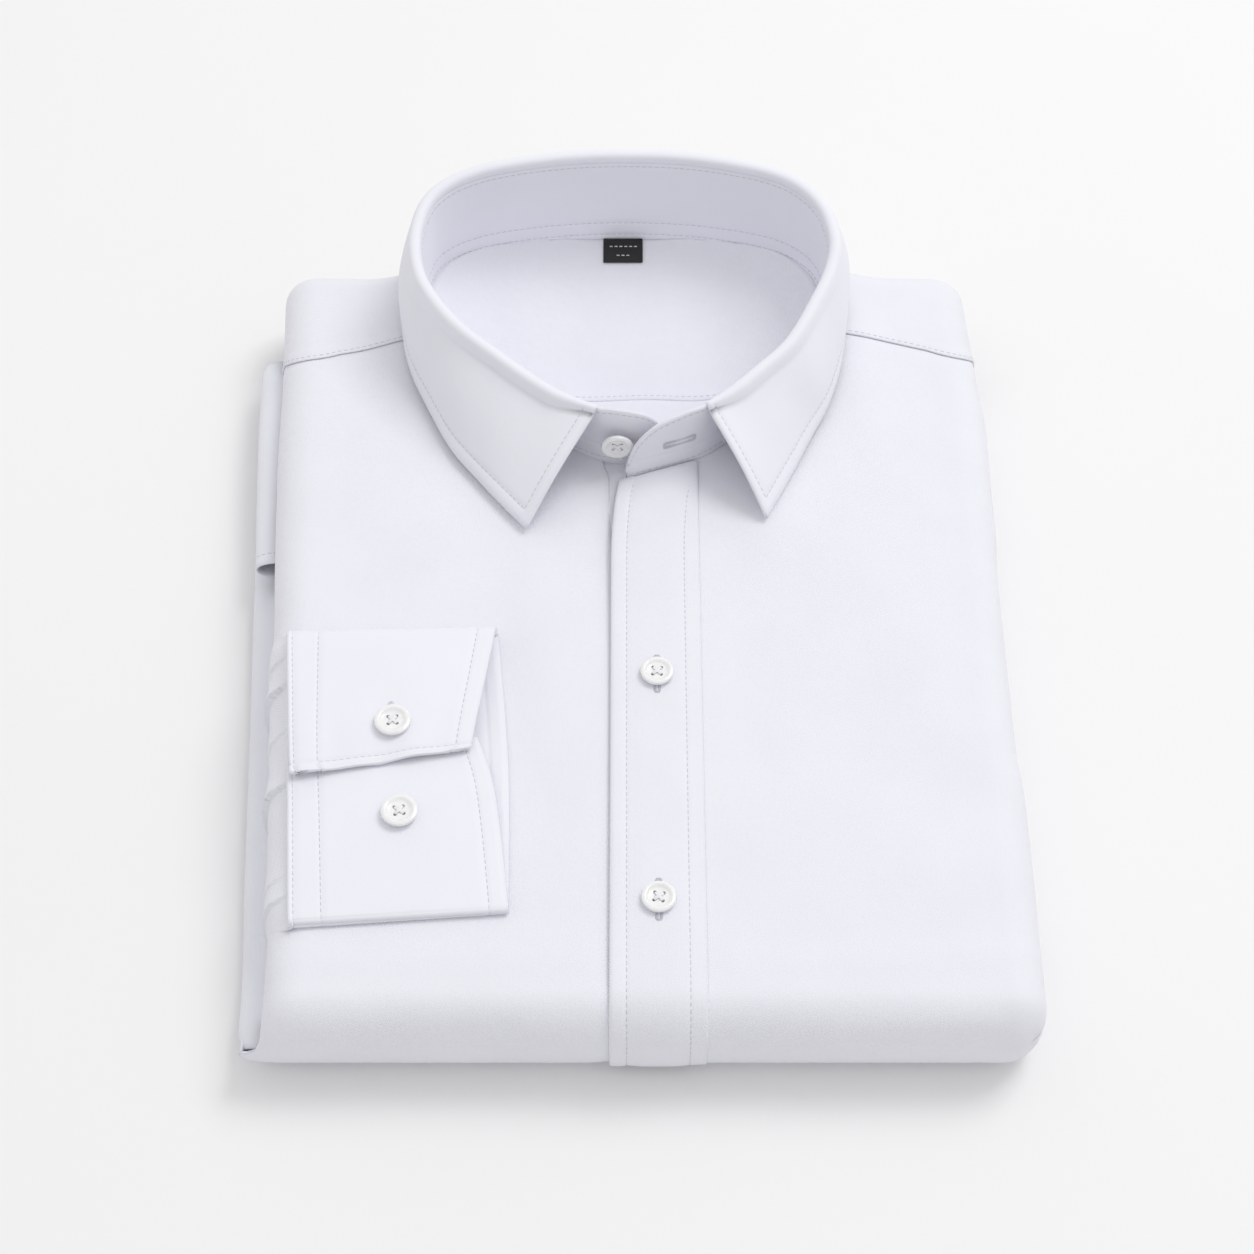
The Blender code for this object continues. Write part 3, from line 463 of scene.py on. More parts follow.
def noise(tree, vector, scale, detail=3.0):
    """Soft noise around 0.5."""
    node = tree.nodes.new("ShaderNodeTexNoise")
    node.inputs["Scale"].default_value = scale
    node.inputs["Detail"].default_value = detail
    tree.links.new(vector, node.inputs["Vector"])
    return node.outputs["Fac"]


def bump(tree, height, strength, distance_mm, after=None):
    """A bump of a height in millimetres, on top of another bump where one is given."""
    node = tree.nodes.new("ShaderNodeBump")
    node.inputs["Strength"].default_value = strength
    node.inputs["Distance"].default_value = distance_mm * MM
    tree.links.new(height, node.inputs["Height"])
    if after:
        tree.links.new(after, node.inputs["Normal"])
    return node.outputs["Normal"]


# %% A cotton material from waves
TWILL_PERIOD = 0.8
YARN_PERIOD = 0.42
YARN_SHARE = 0.35
SLUB_SHARE = 1.6
GLOSS_SPREAD = 0.1


def cotton(name, shade, light, roughness, weave_depth, soft_depth):
    """White cotton twill: yarn ribs, faint cloudiness in tint and gloss, and a soft sheen."""
    material, tree, shader = new_material(name)
    cloth = tree.nodes.new("ShaderNodeUVMap")
    cloth.uv_map = "weave"
    split = tree.nodes.new("ShaderNodeSeparateXYZ")
    tree.links.new(cloth.outputs["UV"], split.inputs[0])
    u, v = split.outputs["X"], split.outputs["Y"]
    diagonal = add_math(tree, "ADD", u, v)
    ribs = add_math(tree, "SINE", add_math(tree, "MULTIPLY", diagonal, 2 * math.pi / TWILL_PERIOD))
    yarns = add_math(tree, "SINE", add_math(tree, "MULTIPLY", u, 2 * math.pi / YARN_PERIOD))
    weave = add_math(tree, "ADD", ribs, add_math(tree, "MULTIPLY", yarns, YARN_SHARE))
    slubs = noise(tree, cloth.outputs["UV"], 0.9, 2.0)
    uneven = add_math(tree, "ADD", weave, add_math(tree, "MULTIPLY", slubs, SLUB_SHARE))
    cloud = noise(tree, cloth.outputs["UV"], 0.035)
    tree.links.new(color_ramp(tree, cloud, shade, light), shader.inputs["Base Color"])
    gloss = add_math(tree, "MULTIPLY_ADD", cloud, GLOSS_SPREAD)
    gloss.node.inputs[2].default_value = roughness - GLOSS_SPREAD / 2
    tree.links.new(gloss, shader.inputs["Roughness"])
    swell = bump(tree, noise(tree, cloth.outputs["UV"], 0.12), 0.35, soft_depth)
    tree.links.new(bump(tree, uneven, 0.5, weave_depth, swell), shader.inputs["Normal"])
    shader.inputs["Metallic"].default_value = 0.0
    shader.inputs["Specular IOR Level"].default_value = 0.32
    shader.inputs["Sheen Weight"].default_value = 0.25
    shader.inputs["Sheen Roughness"].default_value = 0.45
    return material


body_cotton = cotton("body_cotton", (0.855, 0.855, 0.92), (0.875, 0.875, 0.94), 0.62, 0.055, 0.5)
collar_cotton = cotton("collar_cotton", (0.865, 0.865, 0.93), (0.885, 0.885, 0.95), 0.56, 0.012, 0.25)
print("cotton:", body_cotton.name, "and", collar_cotton.name)

# %% [markdown]
# ## The thread
# Polyester sewing thread is white; here its colour is painted a hair darker than the cloth, as painted shade
# for the small shade it lies in, and it shines along its length. A tiny wave along it stands for the twist of
# its two strands.

# %% Thread material
def thread_material(name, dark, light):
    """Plain thread with a fine twist in its tone and bump."""
    material, tree, shader = new_material(name)
    place = tree.nodes.new("ShaderNodeTexCoord").outputs["Object"]
    grain = noise(tree, place, 2600.0, 1.0)
    tree.links.new(color_ramp(tree, grain, dark, light), shader.inputs["Base Color"])
    tree.links.new(bump(tree, grain, 0.6, 0.08), shader.inputs["Normal"])
    shader.inputs["Roughness"].default_value = 0.5
    return material


# the stitches' colour is painted darker: painted shade for the small shade a stitch lies in
thread = thread_material("white_thread_painted_shade", (0.58, 0.58, 0.65), (0.72, 0.72, 0.79))
button_thread = thread_material("button_thread", (0.86, 0.86, 0.88), (0.92, 0.92, 0.93))
print("thread:", thread.name, "and", button_thread.name)

# %% [markdown]
# ## Sewing stitches
# Lockstitch shows as a row of short raised dashes, about four to the centimetre, each diving into the cloth
# at its ends. A dashed bump would vanish from the mesh, so every stitch is a small real capsule, laid along
# a line on the cloth's outer skin and pressed half into it. One joined mesh holds the stitches of a piece.

# %% Stitches along a line
STITCH_LENGTH = 1.9
STITCH_GAP = 0.55
THREAD_RADIUS = 0.17
THREAD_SIDES = 6
stitch_lines = {}


def add_stitches(group, skin_pairs, radius=THREAD_RADIUS, length=STITCH_LENGTH, gap=STITCH_GAP):
    """Remembers a line of (outer, inner) points that will be sewn on one piece."""
    stitch_lines.setdefault(group, []).append((skin_pairs, radius, length, gap))


def walk(points, distance):
    """Point at a distance along a line of (point, normal) pairs."""
    for (start, up), (end, up_end) in zip(points, points[1:]):
        step = (end - start).length
        if distance <= step and step > 1e-9:
            return start.lerp(end, distance / step), up.lerp(up_end, distance / step)
        distance -= step
    return points[-1]


def capsule(corners, faces, start, end, up, radius, sunk=0.35):
    """Adds one stitch: a thread that rises out of the cloth and dives in again."""
    along = (end - start).normalized()
    up = (up - along * up.dot(along)).normalized()
    side = along.cross(up)
    shape = ((0.0, 0.35, -0.9), (0.12, 0.85, -0.1), (0.5, 1.0, 0.25), (0.88, 0.85, -0.1), (1.0, 0.35, -0.9))
    rings = []
    for place, width, rise in shape:
        center = start.lerp(end, place) + up * radius * (rise + sunk)
        ring = []
        for number in range(THREAD_SIDES):
            angle = 2 * math.pi * number / THREAD_SIDES
            corners.append(center + (side * math.cos(angle) + up * math.sin(angle) * 0.8) * radius * width)
            ring.append(len(corners) - 1)
        rings.append(ring)
    for low, high in zip(rings, rings[1:]):
        for number in range(THREAD_SIDES):
            follow = (number + 1) % THREAD_SIDES
            faces.append([low[number], low[follow], high[follow], high[number]])
    faces.append(rings[0][::-1])
    faces.append(rings[-1])


def sew(group):
    """Makes the joined stitches of one piece."""
    corners = []
    faces = []
    count = 0
    for pairs, radius, length, gap in stitch_lines[group]:
        points = [(outer, (outer - inner).normalized()) for outer, inner in pairs]
        total = sum((b[0] - a[0]).length for a, b in zip(points, points[1:]))
        number = max(1, round(total / (length + gap)))
        pitch = total / number
        for index in range(number):
            start, up = walk(points, index * pitch + gap / 2)
            end, _ = walk(points, (index + 1) * pitch - gap / 2)
            capsule(corners, faces, start, end, up, radius)
            count += 1
    item = mesh_piece(group, corners, faces, thread)
    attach(item, "root")
    print(f"{group}: {count} stitches")
    return item


def pile_line(places, lift):
    """A line on the pile's skin through (s, t) places, as (outer, inner) pairs for the stitches."""
    line = []
    for (s1, t1), (s2, t2) in zip(places, places[1:]):
        steps = max(2, int(math.hypot(s2 - s1, t2 - t1) / 2))
        for index in range(steps):
            s = s1 + (s2 - s1) * index / steps
            t = t1 + (t2 - t1) * index / steps
            height = (lift(s, t) if callable(lift) else lift) + crease_height(s, t)
            line.append((pile_point(s, t, height), pile_point(s, t, height - 1)))
    return line


# %% [markdown]
# ## Finishing a piece
# Each piece is attached to the body it moves with, the plain solid it stands for is hidden, and the flat size
# that its cloth was cut to is given. Half the area of a thin closed wall is its cloth, so that is measured
# and printed beside the cut, to catch a wrong size early.

# %% Attach a piece of cloth and hide its plain solid
def finish_cloth(item, node, flat_mm, area_mm2=None):
    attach(item, "root")
    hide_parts(node)
    flat = (flat_mm[0] * MM, flat_mm[1] * MM)
    area = area_mm2 * MM ** 2 if area_mm2 else None
    made = sum(face.area for face in item.data.polygons) / 2
    cut = area or flat[0] * flat[1]
    print(f"{item.name}: cut {cut * 1e4:.0f} cm2, made {made * 1e4:.0f} cm2, share {made / cut:.2f}")


# %% [markdown]
# ## The collar's route and the neckline
# The stand goes once round the neck, from the end with the button to the end with the buttonhole. Its route
# is a table of places and heights, chosen from the oval that the collar makes. The neckline of the
# panels follows the same route, so it is sampled once and looked up from then on.

# %% Route of the collar
COLLAR_ROUTE = (
    # x, y, height of the stand's top edge or of the roll
    (14.0, 68.2, 47.0),
    (12.6, 67.4, 58.0),
    (8.0, 66.7, 64.6),
    (1.0, 66.9, 66.8),
    (-5.5, 67.6, 67.4),
    (-11.2, 69.0, 68.0),
    (-22.9, 75.1, 69.0),
    (-35.5, 83.8, 70.3),
    (-48.3, 94.1, 72.0),
    (-61.3, 105.1, 73.9),
    (-71.0, 116.8, 75.9),
    (-77.8, 130.0, 78.0),
    (-79.3, 146.0, 81.0),
    (-74.0, 163.0, 83.8),
    (-58.0, 174.0, 85.4),
    (-30.0, 180.0, 86.5),
    (0.0, 181.8, 86.8),
    (30.0, 179.8, 86.4),
    (58.0, 172.8, 85.2),
    (72.5, 161.0, 83.3),
    (77.9, 145.0, 80.7),
    (76.0, 131.0, 78.2),
    (69.5, 116.0, 75.7),
    (60.0, 99.0, 72.8),
    (48.0, 86.6, 71.0),
    (37.0, 76.7, 69.2),
    (29.6, 70.6, 68.0),
    (22.0, 66.6, 67.0),
    (15.0, 64.0, 65.4),
    (9.5, 62.1, 62.8),
    (4.1, 60.3, 57.0),
    (1.2, 59.2, 50.0),
    (0.0, 58.7, 43.0),
)
FIRST_ROLL = 5
LAST_ROLL = 26
NECK_BACK_ROW = 16
STAND_CLOTH = 1.5
STAND_FACE = STAND_CLOTH / 2 + 0.1
NECK_OFFSET = 1.3
NECK_FRONT_Y = 69.0


def route_point(place):
    return Vector(curve_point(COLLAR_ROUTE, place))


def route_outward(place):
    """Level unit vector out of the neck, square to the collar's route."""
    along = route_point(place + 0.05) - route_point(place - 0.05)
    return Vector((-along.y, along.x, 0.0)).normalized()


def route_table(first, last, along):
    """Even samples of the route between two of its rows: (y, x), or (x, y) when along is 0."""
    points = [route_point(place) for place in between(first, last, 121)]
    return sorted((point[along], point[1 - along]) for point in points)


NECK_LEFT_SIDE = route_table(FIRST_ROLL, NECK_BACK_ROW, 1)
NECK_RIGHT_SIDE = route_table(NECK_BACK_ROW, LAST_ROLL, 1)
NECK_BACK = route_table(NECK_BACK_ROW - 4, NECK_BACK_ROW + 4, 0)
BUTTONHOLE_END = route_table(LAST_ROLL, len(COLLAR_ROUTE) - 1, 0)


def neck_side(y, side):
    """x of the collar's route at y, on the left (-1) or the right (1)."""
    return look_up(NECK_LEFT_SIDE if side < 0 else NECK_RIGHT_SIDE, y)


def neck_back(x):
    """y of the collar's route round the back of the neck."""
    return look_up(NECK_BACK, x)


route_length = sum((route_point(a + 0.1) - route_point(a)).to_2d().length for a in between(0, 31.9, 320))
print("the collar's route is", round(route_length), "mm long")

# %% [markdown]
# ## The two fronts
# A front panel runs from the shoulder seam to the bottom fold and under it, and wraps the side of the pile.
# Cloth simulation could lay it there, but it would slide and stretch the neckline. Rows of flat places are
# laid on the pile instead, close together round the folds, and lifted by the listed creases. Beside
# the placket the cloth sinks a little, as it does where three layers end.

# %% Rows of a front panel
SHOULDER_SEAM = (
    # x, y
    (-170.0, 125.0),
    (-141.5, 124.0),
    (-132.5, 119.6),
    (-124.0, 118.6),
    (-112.0, 121.5),
    (-88.0, 127.7),
    (0.0, 131.0),
    (86.0, 130.5),
    (101.4, 127.8),
    (116.2, 123.8),
    (127.0, 120.4),
    (135.0, 122.0),
    (143.0, 127.0),
    (152.0, 127.5),
    (170.0, 124.0),
)
FRONT_RIGHT_EDGE = (
    # y, x
    (-300.0, -3.0),
    (24.0, -3.0),
    (33.0, -5.6),
    (48.6, -6.8),
    (59.8, -7.4),
    (68.0, -9.6),
)
SEAM_GAP = -0.5
UNDER_MARGIN = 30.0
SIDE_MARGIN_Y = FLAT_END + UNDER_MARGIN + 3.0
FRONT_LEFT_X = 20.0
STRIP_TURN = 4 * math.pi / 7
CORNER_TURN = math.radians(86.5)
SIDE_EDGE_TURN = math.radians(121.0)
FRONT_MARGIN_TURN = math.radians(5.0)
NO_LIMIT = 4.0
BOTTOM_MARGIN_T = FLAT_END - math.pi * FOLD_RADIUS - 0.01
UPPER_LAYER_END_Y = 32.0
PANEL_CLOTH = 0.8
PANEL_COLUMNS = 52


def front_columns(start, edge, outward, last_turn, margin):
    """Places across a front: even over the top and by equal angles round its side edge."""
    fold = turn_stations(edge, outward, last_turn, margin)
    return between(start, fold[0], PANEL_COLUMNS)[:-1] + fold


def front_lines(inner_edge, fold_edge, outward, last_turn):
    """Lines of (s, t) for a front, from the shoulder seam to the bottom fold and under."""
    body = between(NECK_FRONT_Y, SIDE_MARGIN_Y, 92) + between(SIDE_MARGIN_Y, FLAT_END, 18)[1:-1]
    fold = turn_stations(FRONT_FOLD_Y, -1, math.pi, UNDER_MARGIN)
    side_margin = UNDER_MARGIN if last_turn > math.pi - 0.01 else 0.0
    lines = []
    for share in between(1.0, 0.0, 27)[:-1]:
        y = NECK_FRONT_Y + share * (read_table(SHOULDER_SEAM, outward * 80.0) - NECK_FRONT_Y)
        start = neck_side(y, outward) + outward * NECK_OFFSET
        columns = front_columns(start, fold_edge(y), outward, last_turn, side_margin)
        lines.append([(s, NECK_FRONT_Y + share * (read_table(SHOULDER_SEAM, s) - SEAM_GAP - NECK_FRONT_Y))
                      for s in columns])
    for t in body + fold:
        y, turn_y, side_y = bend(t, FRONT_FOLD_Y, BACK_EDGE_Y, 0.0)
        at_edge = edge_place(y, turn_y, side_y)
        edge = fold_edge(at_edge) if outward > 0 else left_edge(y, turn_y, side_y)
        columns = front_columns(inner_edge(max(t, FLAT_END)), edge, outward, last_turn, side_margin)
        lines.append([(s, t) for s in columns])
    return lines


# %% Which cells of a front are cloth
SEAM_DIP = 0.45
SEAM_DIP_WIDTH = 1.6


def turned(s, t):
    """How far the cloth has turned round the side edge and round the front or back edge."""
    y, turn_y, side_y = bend(t, FRONT_FOLD_Y, back_edge(s), 0.0)
    right = read_table(RIGHT_EDGE, edge_place(y, turn_y, side_y))
    _, turn_x, _ = bend(s, left_edge(y, turn_y, side_y), right, 0.0)
    return turn_x, turn_y, y


def is_front_cloth(lines, side_turns, margin_turn):
    """The side margin and the bottom margin of a front don't cross at the corner."""
    def keep(row, column):
        s, t = lines[row + 1][column + 1]
        turn_x, turn_y, y = turned(s, t)
        if turn_y > math.pi / 2:
            return turn_x < (CORNER_TURN if t > BOTTOM_MARGIN_T else margin_turn)
        if turn_x > math.pi / 2 + 0.01:
            reach = side_turns(y) if t > SIDE_MARGIN_Y - 0.01 else SIDE_EDGE_TURN
            return turn_x < min(reach, side_turns(y)) and turn_y < 0.01
        return turn_x < side_turns(y)
    return keep


def seam_dip(s, t):
    """A front sinks under the yoke's edge at the shoulder seam."""
    away = read_table(SHOULDER_SEAM, s) - t
    return -SEAM_DIP * math.exp(-(away / SEAM_DIP_WIDTH) ** 2)


def placket_dip(s, t):
    """The wearer's right front sinks beside the placket, deeper towards the collar."""
    depth = (0.5 + 1.9 * smooth_step((t + 40) / 90)) * (1 - 0.9 * smooth_step((t - 46) / 16))
    width = 4.0 + 7.0 * smooth_step((t + 30) / 90)
    return -depth * math.exp(-((s + 6.0) / width) ** 2)


def panel(name, lines, base, thickness, material, keep=None):
    """A cloth wall on the pile's skin through lines of (s, t); base(s, t) is its height over the skin."""
    outer = []
    inner = []
    for line in lines:
        heights = [base(s, t) + crease_height(s, t) for s, t in line]
        outer.append([pile_point(s, t, lift) for (s, t), lift in zip(line, heights)])
        inner.append([pile_point(s, t, lift - thickness) for (s, t), lift in zip(line, heights)])
    return cloth_wall(name, outer, inner, material, lines, keep)


# %% Make the two fronts
left_lines = front_lines(lambda y: max(FRONT_LEFT_X, 20.2 + 1.9 * (y - 65.0)),
                         lambda y: read_table(RIGHT_EDGE, y), 1, math.pi)
front_left = panel("front_panel_left", left_lines, seam_dip, PANEL_CLOTH, body_cotton,
                   is_front_cloth(left_lines, lambda y: NO_LIMIT, CORNER_TURN))
finish_cloth(front_left, "front_left", (200, 348))

right_lines = front_lines(lambda y: read_table(FRONT_RIGHT_EDGE, y),
                          lambda y: read_table(LEFT_EDGE, y), -1, STRIP_TURN)


def right_side_turns(y):
    """How far round the side the right front goes: less where the sleeve's upper roll lies."""
    return CORNER_TURN if y > UPPER_LAYER_END_Y - 8 else STRIP_TURN + 0.01


def right_front_base(s, t):
    """The right front sinks at the shoulder seam and beside the placket."""
    return seam_dip(s, t) + placket_dip(s, t)


front_right = panel("front_panel_right", right_lines, right_front_base, PANEL_CLOTH, body_cotton,
                    is_front_cloth(right_lines, right_side_turns, FRONT_MARGIN_TURN))
finish_cloth(front_right, "front_right", (140, 348))

# %% [markdown]
# ## The placket and the button band
# On a man's shirt the left front ends in a placket, a strip folded back on itself and sewn 5 mm inside each
# edge, with a vertical buttonhole under each button. The right front's plain band lies below it and shows
# only as a narrow strip near the neck. The placket is the front's own shape again, a little further out: it
# swells between its stitch lines and sinks in them, and its columns are set close round each line so that
# the mesh can hold the groove.

# %% A strip down the front
PLACKET_LEFT = (
    # y, x
    (-300.0, -5.5),
    (19.3, -5.5),
    (33.5, -5.2),
    (48.2, -4.1),
    (57.0, -2.6),
    (61.8, -1.2),
)
PLACKET_RIGHT_X = 26.4
PLACKET_TURN = math.radians(140.0)
PLACKET_BELOW_STAND = 1.6
PLACKET_STITCH = 5.4
PLACKET_HEIGHT = 1.75
PLACKET_THINS = 0.8
PLACKET_EDGE_SWELL = 0.22
PLACKET_MIDDLE_SWELL = 0.3
PLACKET_RIGHT_THINS = 0.43
STITCH_PRESS = 0.22
GROOVE_HALF_WIDTH = 0.6
GROOVE_SHARPNESS = 0.45


def strip_lines(left_edge, right_edge, top_y, offsets, last_turn):
    """Lines of (s, t) down the front and round the bottom fold; offsets are millimetres from the left."""
    width = right_edge(0.0) - left_edge(0.0)
    shares = [offset / width for offset in offsets]
    lines = []
    for level in between(0.0, 1.0, 110)[:-1]:
        line = []
        for share in shares:
            guess = left_edge(NECK_FRONT_Y) + share * (right_edge(NECK_FRONT_Y) - left_edge(NECK_FRONT_Y))
            y = top_y(guess) + (FLAT_END - top_y(guess)) * level
            line.append((left_edge(y) + share * (right_edge(y) - left_edge(y)), y))
        lines.append(line)
    for t in turn_stations(FRONT_FOLD_Y, -1, last_turn):
        lines.append([(left_edge(FLAT_END) + share * width, t) for share in shares])
    return lines


def groove_stations(width, stitch_offsets, step):
    """Even places from 0 to the width, with three close together at each stitch line."""
    places = set(between(0.0, width, max(2, round(width / step))))
    for offset in stitch_offsets:
        places = {place for place in places if abs(place - offset) > 1.6 * GROOVE_HALF_WIDTH}
        places |= {offset - GROOVE_HALF_WIDTH, offset, offset + GROOVE_HALF_WIDTH}
    return sorted(places)


def groove(place, stitch_offsets):
    """Height of stitched cloth across its stitch lines: pressed in at each of them."""
    return -STITCH_PRESS * sum(math.exp(-((place - offset) / GROOVE_SHARPNESS) ** 2)
                               for offset in stitch_offsets)


# %% Make the placket and the band
placket_width = PLACKET_RIGHT_X - read_table(PLACKET_LEFT, 0.0)
placket_seams = (PLACKET_STITCH, placket_width - PLACKET_STITCH)


def placket_base(s, t):
    """Height of the placket over the fronts, with its swell between the stitch lines."""
    place = s - read_table(PLACKET_LEFT, max(t, FLAT_END))
    share = place / placket_width
    swell = 0.0
    if place < PLACKET_STITCH:
        swell = PLACKET_EDGE_SWELL * abs(math.sin(math.pi * min(1.0, place / PLACKET_STITCH)))
    middle = PLACKET_MIDDLE_SWELL * smooth_step((place - PLACKET_STITCH) / 6)
    middle *= smooth_step((placket_seams[1] - place) / 6)
    thick = PLACKET_HEIGHT - PLACKET_THINS * smooth_step((FLAT_END + 12 - t) / 24)
    thick *= 1 - PLACKET_RIGHT_THINS * smooth_step((share - 0.75) / 0.25)
    return thick + swell + middle + groove(place, placket_seams)


placket_lines = strip_lines(lambda y: read_table(PLACKET_LEFT, y), lambda y: PLACKET_RIGHT_X,
                            lambda x: look_up(BUTTONHOLE_END, x) - PLACKET_BELOW_STAND,
                            groove_stations(placket_width, placket_seams, 1.3), PLACKET_TURN)
placket = panel("placket_strip", placket_lines, placket_base, 0.95, body_cotton)
finish_cloth(placket, "placket", (64, 290),
             area_mm2=32 * 290)
for seam in placket_seams:
    down_the_front = [line[0][1] for line in placket_lines[1:]]
    places = [(read_table(PLACKET_LEFT, max(t, FLAT_END)) + seam, t) for t in down_the_front]
    add_stitches("front_stitches", pile_line(places, placket_base))

BAND_TOP_Y = 67.3
BAND_GAP = 0.5
band_lines = strip_lines(lambda y: read_table(FRONT_RIGHT_EDGE, y) + BAND_GAP, lambda y: FRONT_LEFT_X - GAP,
                         lambda x: BAND_TOP_Y, between(0.0, FRONT_LEFT_X - GAP + 3.0 - BAND_GAP, 16), math.pi)


def band_base(s, t):
    """The band lies one cloth below the fronts and follows part of the dip beside the placket."""
    return -PANEL_CLOTH + 0.6 * placket_dip(s, t)


band = panel("button_band_strip", band_lines, band_base, PANEL_CLOTH, body_cotton)
finish_cloth(band, "button_band", (23, 280))

# %% [markdown]
# ## The yoke
# The yoke is the double panel over the shoulders. It joins the fronts at the shoulder seams, goes round the
# neckline under the collar and folds over the back edge. Its front edge is turned under and topstitched, so
# it stands a little proud of the fronts, and a fine shade runs along it.

# %% Columns of the yoke
BACK_UNDER_MARGIN = 22.0
SIDE_LAYER_BACK_Y = 137.0
NECK_COLUMNS = (-81.2, -79.6, 78.6, 80.2)
YOKE_STITCH = 1.3
YOKE_PROUD = 0.5
YOKE_PROUD_WIDTH = 3.5
NECK_HALF_WIDTH = 79.0


def yoke_lines():
    """Lines of (s, t) from the shoulder seam or the neckline back over the fold, one for each column."""
    left_turns = turn_stations(read_table(LEFT_EDGE, 160.0), -1, 5 * math.pi / 7)
    right_turns = turn_stations(read_table(RIGHT_EDGE, 160.0), 1, math.pi, UNDER_MARGIN)
    columns = left_turns[::-1] + between(left_turns[0], NECK_COLUMNS[0], 26)[1:]
    columns += between(NECK_COLUMNS[1], NECK_COLUMNS[2], 90) + between(NECK_COLUMNS[3], right_turns[0], 26)
    columns += right_turns[1:]
    lines = []
    for s in columns:
        if NECK_COLUMNS[1] - 0.1 < s < NECK_COLUMNS[2] + 0.1:
            start = max(146.0, neck_back(s)) + NECK_OFFSET
        else:
            start = read_table(SHOULDER_SEAM, s)
        flat_end = back_edge(s) - FOLD_RADIUS
        turn_start = max(flat_end, start + 2.0)
        turn = between(turn_start, flat_end + math.pi * FOLD_RADIUS, FOLD_STEPS + 1)
        turn += [turn[-1] + BACK_UNDER_MARGIN / 2, turn[-1] + BACK_UNDER_MARGIN]
        reach = turn_start - start
        near = [min(place, reach * 0.3) for place in (0.0, YOKE_STITCH - 0.5, YOKE_STITCH, YOKE_STITCH + 0.5)]
        near = [start + place for place in near]
        lines.append([(s, t) for t in near + between(near[-1], turn_start, 16)[1:-1] + turn])
    return lines


def is_yoke_cloth(lines):
    """The yoke leaves room for the sleeve's rolls on the left, and its margins don't cross at the corners."""
    def keep(row, column):
        s = max((lines[row][column][0], lines[row + 1][column][0]), key=abs)
        t = max(lines[row][column + 1][1], lines[row + 1][column + 1][1])
        turn_x, turn_y, _ = turned(s, t)
        if turn_y > math.pi / 2 + 0.01:
            return turn_x < CORNER_TURN
        if turn_x > CORNER_TURN and s < 0:
            return turn_y < 0.01 and lines[row][column][1] > SIDE_LAYER_BACK_Y
        if turn_x > math.pi / 2 + 0.01:
            return t < BACK_EDGE_Y - FOLD_RADIUS - BACK_UNDER_MARGIN - 2
        return True
    return keep


def yoke_base(s, t):
    """The yoke's turned edge stands proud at the shoulder seam and is pressed in by its stitches."""
    away = t - read_table(SHOULDER_SEAM, s)
    proud = YOKE_PROUD * math.exp(-(away / YOKE_PROUD_WIDTH) ** 2) if abs(s) > NECK_HALF_WIDTH else 0.0
    return proud + 0.8 * groove(away, (YOKE_STITCH,))


# %% Make the yoke
yoke_places = yoke_lines()
yoke = panel("yoke_panel", yoke_places, yoke_base, PANEL_CLOTH, body_cotton, is_yoke_cloth(yoke_places))
finish_cloth(yoke, "yoke", (370, 140), area_mm2=0.66 * 370 * 140)
for outer_x, inner_x in ((-150.0, -81.5), (81.5, 157.0)):
    places = [(x, read_table(SHOULDER_SEAM, x) + YOKE_STITCH) for x in between(outer_x, inner_x, 30)]
    add_stitches("front_stitches", pile_line(places, yoke_base))

# %% [markdown]
# ## Inside the neck
# Through the collar one sees the inner yoke, sewn to the back panel in a straight seam, with the cloth
# sinking to the middle like a shallow bowl. Its height is a formula: low along the middle and rising to the
# neckline at the sides. A few soft folds run down from the neck seam.

# %% The floor of the neck opening
NECK_FLOOR = (
    # y, z
    (66.0, 27.0),
    (76.0, 21.5),
    (90.0, 19.0),
    (111.5, 22.0),
    (130.0, 27.5),
    (150.0, 32.5),
    (165.0, 36.0),
    (181.0, 40.6),
)
YOKE_SEAM_Y = 111.5
NECK_FLOOR_FRONT_Y = 71.5
NECK_FOLDS = (
    # x at the back, x at the front, half width, height
    (-52, -34, 8, 0.6),
    (-26, -15, 10, -0.7),
    (18, 9, 9, 0.5),
    (47, 27, 10, -0.7),
    (62, 40, 7, 0.5),
)


def neck_floor(x, y):
    """Height of the cloth that shows inside the neck, like a bowl that rises to the neckline."""
    left = neck_side(y, -1)
    right = neck_side(y, 1)
    across = min(1.0, abs(2 * x - left - right) / max(1.0, right - left))
    low = read_table(NECK_FLOOR, y)
    rim = pile_top(x, y) - PANEL_CLOTH
    share = (180 - y) / 70
    soft = sum(rise * math.exp(-((x - back - (front - back) * share) / width) ** 2)
               for back, front, width, rise in NECK_FOLDS)
    return low + (rim - low) * across ** 4 + soft * (1 - across ** 4) * smooth_step((178 - y) / 20)


def neck_panel(name, node, y_from, y_to, rows, seam_lift, flat_mm):
    """A wall on the floor of the neck opening; its seam end can be lifted as a turned edge."""
    grid = []
    places = []
    for y in between(y_from, y_to, rows):
        left = neck_side(y, -1) + STAND_FACE
        right = neck_side(y, 1) - STAND_FACE
        line = []
        spots = []
        for x in between(left, right, 70):
            y_here = min(y, neck_back(x) - STAND_FACE)
            lift = seam_lift * math.exp(-((y_here - YOKE_SEAM_Y) / 2.0) ** 2)
            line.append(Vector((x, y_here, neck_floor(x, y_here) + lift)))
            spots.append((x, y_here))
        grid.append(line)
        places.append(spots)
    item = cloth_wall(name, grid, lowered(grid, PANEL_CLOTH), body_cotton, places)
    finish_cloth(item, node, flat_mm)


neck_panel("inner_yoke", "yoke_inner", YOKE_SEAM_Y + 0.2, 181.0, 50, 0.25, (152, 72))
neck_panel("inner_back", "back_panel", NECK_FLOOR_FRONT_Y, YOKE_SEAM_Y - 0.1, 30, -0.1, (100, 42))


